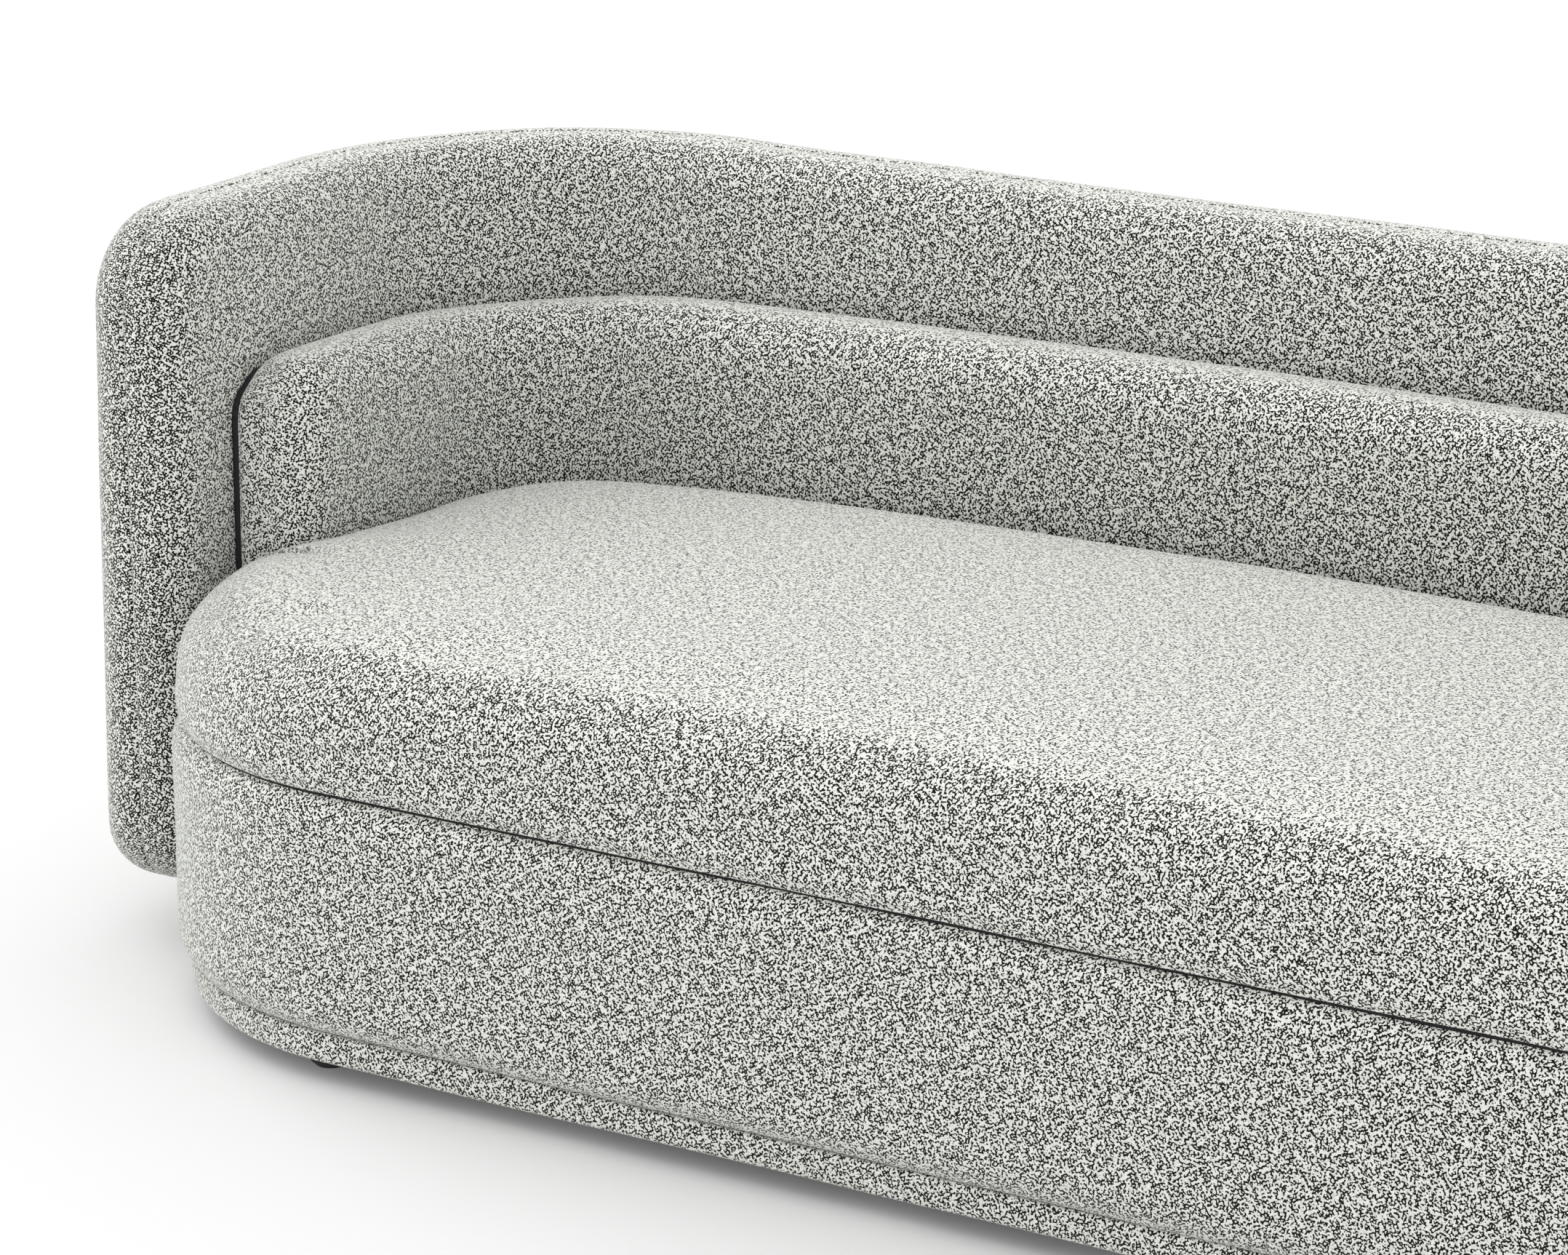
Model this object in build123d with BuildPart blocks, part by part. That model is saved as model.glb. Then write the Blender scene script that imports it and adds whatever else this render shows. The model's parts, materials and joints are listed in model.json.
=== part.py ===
"""A wrap-around bench sofa: plinth, sprung base, one upholstered shell for arms and back, pad and seat.

Millimetres. +Z is up, the front faces -Y, the feet stand on Z = 0 and X = 0 is the middle of the sofa.
Every upholstered volume is a form that can be drawn in by an inset, so that a cover, the foam under it
and the frame inside it nest one in the other.
"""
import math
import os

from build123d import *

os.makedirs("parts", exist_ok=True)

# Overall size
overall_width = 2230.0
overall_depth = 895.0
overall_height = 718.0

# Shell: the two arms and the back in one band
shell_thickness = 110.0
shell_rear_radius = 360.0
shell_bottom_height = 51.0
shell_edge_radius = 44.0
arm_setback = 230.0
arm_top_radius = 90.0
arm_foot_radius = 56.0

# Base: the rounded box between the arms
base_side_gap = 6.0
base_bottom_height = 50.0
base_top_height = 286.0
base_front_radius = 320.0
base_top_radius = 28.0
base_bottom_radius = 40.0

# Plinth, dust cover and glides
plinth_inset = 12.0
plinth_bottom_height = 20.0
plinth_edge_chamfer = 5.0
plinth_return_width = 24.0
plinth_bar_width = 90.0
plinth_window_count = 4
dust_cover_thickness = 0.8
dust_cover_inset = 7.0
glide_inset = 63.0
glide_corner_spread = 1420.0
glide_centre_setback = 260.0
glide_diameter = 40.0
glide_collar_diameter = 46.0
glide_collar_height = 4.0
glide_toe_chamfer = 5.0
glide_screw_head_diameter = 9.0
glide_screw_head_height = 3.0
glide_screw_diameter = 4.5
glide_screw_grip = 18.0
glide_screw_recess = 11.0

# Layers
cover_thickness = 2.5
layer_gap = 0.3
seat_clearance = 1.0
ply_thickness = 18.0
skin_thickness = 5.0

# Base frame and deck
base_foam_thickness = 15.2
base_rail_thickness = 22.0
base_plate_chamfer = 16.0
base_plate_border = 90.0
base_stretcher_height = 120.0
base_stretcher_pitch = 420.0
base_stretcher_count = 4
base_rib_width = 45.0
deck_border = 62.0
strap_width = 70.0
strap_pitch = 118.0
strap_thickness = 2.0
strap_end_margin = 4.0
deck_cloth_thickness = 1.5

# Shell frame
shell_foam_thickness = 20.2
shell_cap_thickness = 50.0
shell_sole_thickness = 10.0
shell_slot_lip = 7.0
shell_middle_rail_height = 360.0
shell_post_width = 60.0
arm_board_hole_diameter = 26.0

# Bolts that hold the shell to the base
bolt_height = 155.0
arm_bolt_pitch = 100.0
bolt_diameter = 8.0
bolt_clearance = 0.3
bolt_head_diameter = 16.0
bolt_head_height = 5.5
washer_diameter = 24.0
washer_thickness = 2.0
tee_nut_flange_diameter = 20.0
tee_nut_flange_thickness = 1.6
tee_nut_barrel_diameter = 10.5
tee_nut_barrel_length = 11.0
tee_nut_clearance = 0.1
spacer_diameter = 34.0

# Back pad that lines the shell
pad_thickness = 95.0
pad_gap = 0.6
pad_end_setback = 321.0
pad_side_height = 570.0
pad_crown = 22.0
pad_edge_radius = 42.0
pad_end_radius = 48.0
pad_board_thickness = 5.0
pad_window_margin = 46.0
pad_strip_width = 50.0
pad_strip_length = 120.0
pad_strip_positions = (-560.0, 0.0, 560.0)

# Seat cushion
seat_front_setback = 2.0
seat_thickness = 142.0
seat_side_fall = 26.0
seat_depth_fall = 12.0
seat_edge_radius = 66.0
seat_lower_radius = 28.0
seat_core_inset = 40.0
seat_core_height = 84.0
seat_underside_inset = 52.0

# Places worked out from the sizes above
half_width = overall_width / 2
front_y = -overall_depth / 2
rear_y = overall_depth / 2
arm_front_y = front_y + arm_setback
shell_inner_x = half_width - shell_thickness
shell_inner_rear_y = rear_y - shell_thickness
shell_inner_radius = shell_rear_radius - shell_thickness
base_half_width = shell_inner_x - base_side_gap
base_rear_y = shell_inner_rear_y - base_side_gap
base_rear_radius = shell_inner_radius - base_side_gap
pad_front_y = front_y + pad_end_setback
pad_bottom_height = base_top_height + layer_gap
seat_bottom_height = base_top_height + layer_gap
lining_inset = cover_thickness + layer_gap
side_rail_middle = (base_rear_y - base_rear_radius + front_y + base_front_radius) / 2
arm_bolt_positions = (side_rail_middle - arm_bolt_pitch / 2, side_rail_middle + arm_bolt_pitch / 2)
back_bolt_positions = (-base_stretcher_pitch, 0.0, base_stretcher_pitch)

# Layers of the shell, counted from its outer face inwards, and the depth of its posts beyond the base
shell_skin_depth = lining_inset + shell_foam_thickness + layer_gap
shell_core_depth = shell_skin_depth + skin_thickness + layer_gap
shell_core_thickness = shell_thickness - 2 * shell_core_depth
shell_inner_skin_depth = shell_thickness - shell_skin_depth - skin_thickness
bolt_post_outer = base_side_gap + shell_core_depth + shell_core_thickness


def export(builder, name):
    """Label a finished piece and write it under its own name."""
    builder.part.label = name
    export_step(builder.part, f"parts/{name}.step")


def wrap_plan(height, outer_x, back_y, end_y, outer_radius, thickness):
    """Plan of a band that runs up one side, round the back and down the other side."""
    inner_x = outer_x - thickness
    inner_back_y = back_y - thickness
    with BuildSketch(Plane.XY.offset(height)) as plan:
        with BuildLine():
            outside = FilletPolyline(
                (-outer_x, end_y),
                (-outer_x, back_y),
                (outer_x, back_y),
                (outer_x, end_y),
                radius=outer_radius,
            )
            inside = FilletPolyline(
                (-inner_x, end_y),
                (-inner_x, inner_back_y),
                (inner_x, inner_back_y),
                (inner_x, end_y),
                radius=outer_radius - thickness,
            )
            Line(outside @ 0, inside @ 0)
            Line(outside @ 1, inside @ 1)
        make_face()
    return plan.sketch


def shell_plan(height, inset, end_inset):
    """Plan of the shell drawn in by an inset on both faces and by another at the arm ends."""
    return wrap_plan(
        height,
        half_width - inset,
        rear_y - inset,
        arm_front_y + end_inset,
        shell_rear_radius - inset,
        shell_thickness - 2 * inset,
    )


def shell_layer_plan(height, depth_in_band, thickness, end_inset):
    """Plan of one layer of the shell, counted from the outer face inwards."""
    return wrap_plan(
        height,
        half_width - depth_in_band,
        rear_y - depth_in_band,
        arm_front_y + end_inset,
        shell_rear_radius - depth_in_band,
        thickness,
    )


def pad_plan(height, outer_inset, inner_inset, end_inset):
    """Plan of the back pad, drawn in from the shell side, from the seat side and at its two ends."""
    outer_inset = outer_inset + pad_gap
    return wrap_plan(
        height,
        shell_inner_x - outer_inset,
        shell_inner_rear_y - outer_inset,
        pad_front_y + end_inset,
        shell_inner_radius - outer_inset,
        pad_thickness - outer_inset - inner_inset,
    )


def rounded_plan(height, half_x, low_y, high_y, front_radius, rear_radius):
    """Plan of a block with one radius at its two front corners and another at its two rear corners."""
    with BuildSketch(Plane.XY.offset(height)) as plan:
        with BuildLine():
            FilletPolyline(
                (-half_x, low_y),
                (half_x, low_y),
                (half_x, high_y),
                (-half_x, high_y),
                radius=(front_radius, front_radius, rear_radius, rear_radius),
                close=True,
            )
        make_face()
    return plan.sketch


def base_plan(height, inset, front_inset=0.0):
    """Plan of the base: wide front corners, rear corners that follow the shell."""
    return rounded_plan(
        height,
        base_half_width - inset,
        front_y + front_inset + inset,
        base_rear_y - inset,
        base_front_radius - inset,
        base_rear_radius - inset,
    )


def is_across_end(edge):
    """True for an edge that runs straight across the thickness of a band at one of its ends."""
    size = edge.bounding_box().size
    return abs(edge.center().X) > size.X / 2 and size.Y < layer_gap and size.X > size.Z


def rim_edges(form, end_y):
    """Edges that run along a band's walls, leaving out the lines across its ends and up its walls."""
    across_ends = form.edges().filter_by(is_across_end)
    up_walls = form.edges().filter_by(Axis.Z).filter_by(lambda edge: edge.center().Y > end_y + layer_gap)
    return form.edges() - across_ends - up_walls


def shell_form(inset):
    """The upholstered shell, drawn in by an inset all over."""
    edge_radius = min(shell_edge_radius, shell_thickness / 2 - cover_thickness) - inset
    with BuildPart() as form:
        plan = shell_plan(shell_bottom_height + inset, inset, inset)
        extrude(plan, amount=overall_height - shell_bottom_height - 2 * inset)
        arm_ends = form.edges().filter_by(Axis.X).group_by(Axis.Y)[0]
        fillet(arm_ends.group_by(Axis.Z)[-1], arm_top_radius - inset)
        arm_ends = form.edges().filter_by(Axis.X).group_by(Axis.Y)[0]
        fillet(arm_ends.group_by(Axis.Z)[0], arm_foot_radius - inset)
        fillet(rim_edges(form, arm_front_y + inset), edge_radius)
    return form.part


def base_form(inset):
    """The upholstered base, drawn in by an inset all over."""
    with BuildPart() as form:
        plan = base_plan(base_bottom_height + inset, inset)
        extrude(plan, amount=base_top_height - base_bottom_height - 2 * inset)
        fillet(form.faces().sort_by(Axis.Z)[-1].edges(), base_top_radius - inset)
        fillet(form.faces().sort_by(Axis.Z)[0].edges(), base_bottom_radius - inset)
    return form.part


def plinth_form(inset):
    """The plinth band under the base, drawn in by an inset all over."""
    with BuildPart() as form:
        plan = base_plan(plinth_bottom_height + inset, plinth_inset + inset)
        extrude(plan, amount=base_bottom_height - plinth_bottom_height - 2 * inset)
        chamfer(form.faces().sort_by(Axis.Z)[-1].edges(), plinth_edge_chamfer - inset)
        chamfer(form.faces().sort_by(Axis.Z)[0].edges(), plinth_edge_chamfer - inset)
    return form.part


def pad_form(inset):
    """The back pad, with a top that rises towards the middle, drawn in by an inset all over."""
    top_side = pad_side_height - inset
    top_middle = pad_side_height + pad_crown - inset
    with BuildPart() as form:
        plan = pad_plan(pad_bottom_height + inset, inset, inset, inset)
        extrude(plan, amount=overall_height - pad_bottom_height)
        with BuildSketch(Plane.XZ):
            with BuildLine():
                crown = ThreePointArc((-half_width, top_side), (0, top_middle), (half_width, top_side))
                Polyline(crown @ 0, (-half_width, 0), (half_width, 0), crown @ 1)
            make_face()
        extrude(amount=overall_depth, both=True, mode=Mode.INTERSECT)
        end_faces = form.faces().filter_by(Axis.Y).group_by(Axis.Y)[0]
        end_tops = ShapeList([face.edges().sort_by(Axis.Z)[-1] for face in end_faces])
        fillet(end_tops, pad_end_radius - inset)
        bottom = form.faces().sort_by(Axis.Z)[0].edges()
        fillet(rim_edges(form, pad_front_y + inset) - bottom, pad_edge_radius - inset)
    return form.part


def seat_form(inset):
    """The seat cushion cut round the pad, drawn in by an inset all over.

    Its top is a shallow ring surface: an arc from front to rear, turned about a far axis below the seat,
    so that the crown falls away both to the sides and to the front and rear.
    """
    low_y = front_y + seat_front_setback
    middle_y = (low_y + base_rear_y) / 2
    half_depth = (base_rear_y - low_y) / 2
    crown_radius = (base_half_width**2 + seat_side_fall**2) / (2 * seat_side_fall)
    axis_height = seat_bottom_height + seat_thickness - inset - crown_radius
    half_turn = math.asin(half_width / crown_radius)
    outwards = Vector(-math.sin(half_turn), 0, math.cos(half_turn))
    start = Vector(0, middle_y, axis_height) + outwards * crown_radius
    start_plane = Plane(start, x_dir=(0, 1, 0), z_dir=(math.cos(half_turn), 0, math.sin(half_turn)))
    with BuildPart() as form:
        plan = base_plan(seat_bottom_height + inset, inset, seat_front_setback)
        extrude(plan, amount=2 * seat_thickness)
        with BuildSketch(start_plane):
            with BuildLine():
                crown = ThreePointArc((-half_depth, -seat_depth_fall), (0, 0), (half_depth, -seat_depth_fall))
                Polyline(crown @ 0, (-half_depth, -overall_height), (half_depth, -overall_height), crown @ 1)
            make_face()
        crown_axis = Axis((0, 0, axis_height), (0, 1, 0))
        revolve(axis=crown_axis, revolution_arc=math.degrees(2 * half_turn), mode=Mode.INTERSECT)
        fillet(form.faces().sort_by(Axis.Z)[-1].edges(), seat_edge_radius - inset)
        fillet(form.faces().sort_by(Axis.Z)[0].edges(), seat_lower_radius - inset)
        seat_notch(inset)
    return form.part


def seat_notch(inset):
    """Cut the current part clear of the back pad, so that the cushion is a T in plan."""
    reach = seat_clearance + inset
    plan = wrap_plan(
        0.0,
        half_width,
        rear_y,
        pad_front_y - reach,
        shell_rear_radius,
        half_width - shell_inner_x + pad_thickness + reach,
    )
    extrude(plan, amount=overall_height, mode=Mode.SUBTRACT)


def bolt_planes():
    """One plane for each bolt, on the base's outer face and looking outwards along the bolt."""
    planes = []
    for side in (-1, 1):
        for place in arm_bolt_positions:
            planes.append(Plane((side * base_half_width, place, bolt_height), z_dir=(side, 0, 0)))
    for place in back_bolt_positions:
        planes.append(Plane((place, base_rear_y, bolt_height), z_dir=(0, 1, 0)))
    return planes


def along_bolts(start, end, radius, mode=Mode.ADD):
    """A round length on each bolt's axis, from start to end outwards of the base's outer face."""
    places = [plane.offset(start).location for plane in bolt_planes()]
    with Locations(*places):
        Cylinder(radius, end - start, align=(Align.CENTER, Align.CENTER, Align.MIN), mode=mode)


def bore_for_bolts():
    """Drill the current part on every bolt's axis, as far as the outer face of the shell's posts."""
    along_bolts(-half_width / 4, bolt_post_outer, bolt_diameter / 2 + bolt_clearance, Mode.SUBTRACT)


def plate_windows(height, depth, inset, count):
    """Cut a row of rounded windows in a plate, leaving a border and bars between them."""
    clear_width = 2 * (base_half_width - inset)
    window_pitch = (clear_width + plinth_bar_width) / count
    window_depth = base_rear_y - front_y - 2 * inset
    with BuildSketch(Plane.XY.offset(height)) as windows:
        with Locations((0, (front_y + base_rear_y) / 2)):
            with GridLocations(window_pitch, 1, count, 1):
                RectangleRounded(window_pitch - plinth_bar_width, window_depth, plinth_bar_width / 2)
    extrude(windows.sketch, amount=depth, mode=Mode.SUBTRACT)


# Glides, their screws and the underside
glide_front_y = front_y + glide_inset
glide_rear_y = base_rear_y - glide_inset
glide_places = {
    "glide_front_left": (-glide_corner_spread / 2, glide_front_y),
    "glide_front_right": (glide_corner_spread / 2, glide_front_y),
    "glide_rear_left": (-glide_corner_spread / 2, glide_rear_y),
    "glide_rear_right": (glide_corner_spread / 2, glide_rear_y),
    "glide_centre_front": (0.0, front_y + glide_centre_setback),
    "glide_centre_rear": (0.0, base_rear_y - glide_centre_setback),
}
plinth_frame_bottom = plinth_bottom_height + lining_inset
plinth_frame_top = base_bottom_height - lining_inset
glide_screw_bore = glide_screw_diameter / 2 + bolt_clearance
screw_head_bottom = glide_screw_recess - glide_screw_head_height


def glide(place):
    """A turned plastic glide: a collar under the plinth frame, a bevelled toe and a recess for its screw."""
    with BuildPart(Plane((place[0], place[1], 0))) as turned:
        with BuildSketch(Plane((place[0], place[1], 0), x_dir=(1, 0, 0), z_dir=(0, -1, 0))) as profile:
            with BuildLine():
                Polyline(
                    (0, 0),
                    (glide_diameter / 2, 0),
                    (glide_diameter / 2, plinth_frame_bottom - glide_collar_height),
                    (glide_collar_diameter / 2, plinth_frame_bottom - glide_collar_height),
                    (glide_collar_diameter / 2, plinth_frame_bottom),
                    (0, plinth_frame_bottom),
                    close=True,
                )
            make_face()
            toe = profile.vertices().group_by(Axis.Y)[0].sort_by(Axis.X)[-1]
            chamfer(toe, glide_toe_chamfer)
        revolve(axis=Axis((place[0], place[1], 0), (0, 0, 1)))
        Cylinder(glide_screw_bore, plinth_frame_bottom, align=(Align.CENTER, Align.CENTER, Align.MIN),
                 mode=Mode.SUBTRACT)
        Cylinder(glide_screw_head_diameter / 2 + bolt_clearance, glide_screw_recess,
                 align=(Align.CENTER, Align.CENTER, Align.MIN), mode=Mode.SUBTRACT)
    return turned


for glide_name, glide_place in glide_places.items():
    export(glide(glide_place), glide_name)

with BuildPart() as glide_screws:
    with Locations(*[(x, y, screw_head_bottom) for x, y in glide_places.values()]):
        Cylinder(glide_screw_head_diameter / 2, glide_screw_head_height,
                 align=(Align.CENTER, Align.CENTER, Align.MIN))
        Cylinder(glide_screw_diameter / 2, plinth_frame_bottom - screw_head_bottom + glide_screw_grip,
                 align=(Align.CENTER, Align.CENTER, Align.MIN))
export(glide_screws, "glide_screws")

with BuildPart() as dust_cover:
    plan = base_plan(plinth_bottom_height - dust_cover_thickness, plinth_inset + dust_cover_inset)
    extrude(plan, amount=dust_cover_thickness)
    with Locations(*[(x, y, 0) for x, y in glide_places.values()]):
        Cylinder(glide_collar_diameter / 2 + layer_gap, plinth_frame_top,
                 align=(Align.CENTER, Align.CENTER, Align.MIN), mode=Mode.SUBTRACT)
export(dust_cover, "dust_cover")

plinth_lining = plinth_form(lining_inset)
with BuildPart() as plinth_frame:
    add(plinth_lining)
    plate_windows(plinth_frame_bottom, plinth_frame_top, plinth_inset + plinth_bar_width, plinth_window_count)
    with Locations(*[(x, y, 0) for x, y in glide_places.values()]):
        Cylinder(glide_screw_bore, plinth_frame_bottom + glide_screw_grip + layer_gap,
                 align=(Align.CENTER, Align.CENTER, Align.MIN), mode=Mode.SUBTRACT)
export(plinth_frame, "plinth_frame")

plinth_outside = plinth_form(0.0)
plinth_inside = plinth_form(cover_thickness)
with BuildPart() as plinth_cover:
    add(plinth_outside)
    add(plinth_inside, mode=Mode.SUBTRACT)
    plan = base_plan(0.0, plinth_inset + plinth_return_width)
    extrude(plan, amount=overall_height, mode=Mode.SUBTRACT)
export(plinth_cover, "plinth_cover")

# Base frame
skin_inset = lining_inset + base_foam_thickness + layer_gap
frame_inset = skin_inset + skin_thickness + layer_gap
plate_bottom = base_bottom_height + lining_inset
plate_top = plate_bottom + ply_thickness
top_plate_top = base_top_height - base_top_radius
top_plate_bottom = top_plate_top - ply_thickness
rail_height = top_plate_bottom - plate_top
rail_inner_inset = frame_inset + base_rail_thickness


def bottom_plate_blank(inset):
    """The base's lower plate before its windows, chamfered below so that the cover rolls under it."""
    with BuildPart() as blank:
        plan = base_plan(plate_bottom, inset)
        extrude(plan, amount=ply_thickness)
        chamfer(blank.faces().sort_by(Axis.Z)[0].edges(), base_plate_chamfer)
    return blank.part


lower_plate_blank = bottom_plate_blank(frame_inset)
with BuildPart() as base_bottom_plate:
    add(lower_plate_blank)
    plate_windows(plate_bottom, ply_thickness, frame_inset + base_plate_border, plinth_window_count)
export(base_bottom_plate, "base_bottom_plate")

with BuildPart() as base_top_plate:
    plan = base_plan(top_plate_bottom, frame_inset)
    extrude(plan, amount=ply_thickness)
    plan = base_plan(top_plate_bottom, frame_inset + base_plate_border)
    extrude(plan, amount=ply_thickness, mode=Mode.SUBTRACT)
export(base_top_plate, "base_top_plate")

front_rail_length = 2 * (base_half_width - base_front_radius)
back_rail_length = 2 * (base_half_width - base_rear_radius)
side_rail_length = base_rear_y - base_rear_radius - front_y - base_front_radius
rail_level = (Align.CENTER, Align.CENTER, Align.MIN)

with BuildPart() as base_front_rail:
    with Locations((0, front_y + frame_inset + base_rail_thickness / 2, plate_top)):
        Box(front_rail_length, base_rail_thickness, rail_height, align=rail_level)
export(base_front_rail, "base_front_rail")

with BuildPart() as base_back_rail:
    with Locations((0, base_rear_y - frame_inset - base_rail_thickness / 2, plate_top)):
        Box(back_rail_length, base_rail_thickness, rail_height, align=rail_level)
    bore_for_bolts()
export(base_back_rail, "base_back_rail")

with BuildPart() as base_side_rails:
    rail_x = base_half_width - frame_inset - base_rail_thickness / 2
    with Locations((-rail_x, side_rail_middle, plate_top), (rail_x, side_rail_middle, plate_top)):
        Box(base_rail_thickness, side_rail_length, rail_height, align=rail_level)
    bore_for_bolts()
export(base_side_rails, "base_side_rails")

with BuildPart() as base_stretchers:
    stretcher_length = base_rear_y - front_y - 2 * rail_inner_inset
    with Locations((0, (front_y + base_rear_y) / 2, plate_top)):
        with GridLocations(base_stretcher_pitch, 1, base_stretcher_count, 1):
            Box(base_rail_thickness, stretcher_length, base_stretcher_height, align=rail_level)
export(base_stretchers, "base_stretchers")

with BuildPart() as base_corner_ribs:
    plan = base_plan(plate_top + (rail_height - ply_thickness) / 2, frame_inset)
    extrude(plan, amount=ply_thickness)
    plan = base_plan(plate_top, frame_inset + base_rib_width)
    extrude(plan, amount=rail_height, mode=Mode.SUBTRACT)
    with Locations((0, 0, plate_top)):
        Box(front_rail_length, overall_depth, rail_height, align=rail_level, mode=Mode.SUBTRACT)
        Box(back_rail_length, overall_depth, rail_height, align=(Align.CENTER, Align.MIN, Align.MIN),
            mode=Mode.SUBTRACT)
    with Locations((0, side_rail_middle, plate_top)):
        Box(overall_width, side_rail_length, rail_height, align=rail_level, mode=Mode.SUBTRACT)
export(base_corner_ribs, "base_corner_ribs")

with BuildPart() as base_skin:
    plan = base_plan(plate_top, skin_inset)
    extrude(plan, amount=top_plate_top - plate_top)
    plan = base_plan(plate_top, skin_inset + skin_thickness)
    extrude(plan, amount=top_plate_top - plate_top, mode=Mode.SUBTRACT)
    bore_for_bolts()
export(base_skin, "base_skin")

# Base upholstery and deck
base_outside = base_form(0.0)
base_inside = base_form(cover_thickness)
base_foam_outside = base_form(lining_inset)
lower_plate_room = bottom_plate_blank(frame_inset - layer_gap)

with BuildPart() as base_foam:
    add(base_foam_outside)
    add(lower_plate_room, mode=Mode.SUBTRACT)
    plan = base_plan(plate_top, skin_inset - layer_gap)
    extrude(plan, amount=top_plate_top - plate_top, mode=Mode.SUBTRACT)
    plan = base_plan(top_plate_top, deck_border)
    extrude(plan, amount=base_top_height - top_plate_top, mode=Mode.SUBTRACT)
    bore_for_bolts()
export(base_foam, "base_foam")

with BuildPart() as base_cover:
    add(base_outside)
    add(base_inside, mode=Mode.SUBTRACT)
    plan = base_plan(base_top_height - base_top_radius, deck_border)
    extrude(plan, amount=base_top_radius, mode=Mode.SUBTRACT)
    plan = base_plan(base_bottom_height, base_bottom_radius + plinth_return_width)
    extrude(plan, amount=base_bottom_radius, mode=Mode.SUBTRACT)
    bore_for_bolts()
export(base_cover, "base_cover")

strap_inset = deck_border + strap_end_margin
strap_length = base_rear_y - front_y - 2 * strap_inset
strap_span = 2 * (base_half_width - max(base_front_radius, base_rear_radius))
strap_count = int(strap_span // strap_pitch) + 1
with BuildPart() as seat_webbing:
    with Locations((0, (front_y + base_rear_y) / 2, top_plate_top)):
        with GridLocations(strap_pitch, 1, strap_count, 1):
            Box(strap_width, strap_length, strap_thickness, align=rail_level)
export(seat_webbing, "seat_webbing")

deck_pad_bottom = top_plate_top + strap_thickness + layer_gap
deck_cloth_bottom = base_top_height - deck_cloth_thickness
with BuildPart() as deck_pad:
    plan = base_plan(deck_pad_bottom, deck_border + layer_gap)
    extrude(plan, amount=deck_cloth_bottom - layer_gap - deck_pad_bottom)
export(deck_pad, "deck_pad")

with BuildPart() as deck_cloth:
    plan = base_plan(deck_cloth_bottom, deck_border + layer_gap)
    extrude(plan, amount=deck_cloth_thickness)
export(deck_cloth, "deck_cloth")

# Shell frame
arm_board_inset = shell_cap_thickness + layer_gap
shell_frame_end = arm_board_inset + ply_thickness + layer_gap
shell_frame_bottom = shell_bottom_height + shell_sole_thickness + layer_gap
shell_frame_top = overall_height - shell_cap_thickness - layer_gap
shell_frame_height = shell_frame_top - shell_frame_bottom

shell_rail_heights = {
    "shell_bottom_rail": shell_frame_bottom,
    "shell_middle_rail": shell_middle_rail_height,
    "shell_top_rail": shell_frame_top - ply_thickness,
}
for rail_name, rail_bottom in shell_rail_heights.items():
    with BuildPart() as shell_rail:
        plan = shell_layer_plan(rail_bottom, shell_core_depth, shell_core_thickness, shell_frame_end)
        extrude(plan, amount=ply_thickness)
    export(shell_rail, rail_name)

shell_skin_depths = {"shell_outer_skin": shell_skin_depth, "shell_inner_skin": shell_inner_skin_depth}
for skin_name, skin_depth in shell_skin_depths.items():
    with BuildPart() as shell_skin:
        plan = shell_layer_plan(shell_frame_bottom, skin_depth, skin_thickness, shell_frame_end)
        extrude(plan, amount=shell_frame_height)
        if skin_name == "shell_inner_skin":
            bore_for_bolts()
    export(shell_skin, skin_name)

# Uprights stand at every bolt, behind each arm end and in the middle of each rear corner.
corner_x = half_width - shell_rear_radius
corner_y = rear_y - shell_rear_radius
arm_post_x = half_width - shell_thickness / 2
end_post_y = arm_front_y + shell_frame_end + shell_post_width / 2
with BuildSketch() as post_plan:
    for side in (-1, 1):
        with Locations(*[(side * arm_post_x, y) for y in arm_bolt_positions + (end_post_y,)]):
            Rectangle(shell_thickness, shell_post_width)
        with Locations(Location((side * corner_x, corner_y, 0), (0, 0, 90 - side * 45))):
            Rectangle(shell_rear_radius, shell_post_width, align=(Align.MIN, Align.CENTER))
    with Locations(*[(x, rear_y - shell_thickness / 2) for x in back_bolt_positions]):
        Rectangle(shell_post_width, shell_thickness)

post_tiers = (
    (shell_frame_bottom + ply_thickness, shell_middle_rail_height),
    (shell_middle_rail_height + ply_thickness, shell_frame_top - ply_thickness),
)
with BuildPart() as shell_posts:
    for tier_bottom, tier_top in post_tiers:
        plan = shell_layer_plan(tier_bottom, shell_core_depth, shell_core_thickness, shell_frame_end)
        extrude(plan, amount=tier_top - tier_bottom)
    extrude(post_plan.sketch, amount=overall_height, mode=Mode.INTERSECT)
    bore_for_bolts()
    along_bolts(bolt_post_outer - tee_nut_flange_thickness - layer_gap, bolt_post_outer + layer_gap,
                tee_nut_flange_diameter / 2 + bolt_clearance, Mode.SUBTRACT)
    along_bolts(bolt_post_outer - tee_nut_flange_thickness - tee_nut_barrel_length - layer_gap,
                bolt_post_outer, tee_nut_barrel_diameter / 2 + tee_nut_clearance, Mode.SUBTRACT)
export(shell_posts, "shell_posts")

with BuildPart() as arm_end_boards:
    board_width = shell_thickness - 2 * shell_skin_depth
    board_y = arm_front_y + arm_board_inset + ply_thickness / 2
    with Locations((-arm_post_x, board_y, shell_frame_bottom), (arm_post_x, board_y, shell_frame_bottom)):
        Box(board_width, ply_thickness, shell_frame_height, align=rail_level)
    hole_pitch = shell_frame_height / 4
    with Locations(*[(side * arm_post_x, board_y, shell_frame_bottom + hole_pitch * step)
                     for side in (-1, 1) for step in (1, 2, 3)]):
        Cylinder(arm_board_hole_diameter / 2, 2 * ply_thickness, rotation=(90, 0, 0), mode=Mode.SUBTRACT)
export(arm_end_boards, "arm_end_boards")

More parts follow.
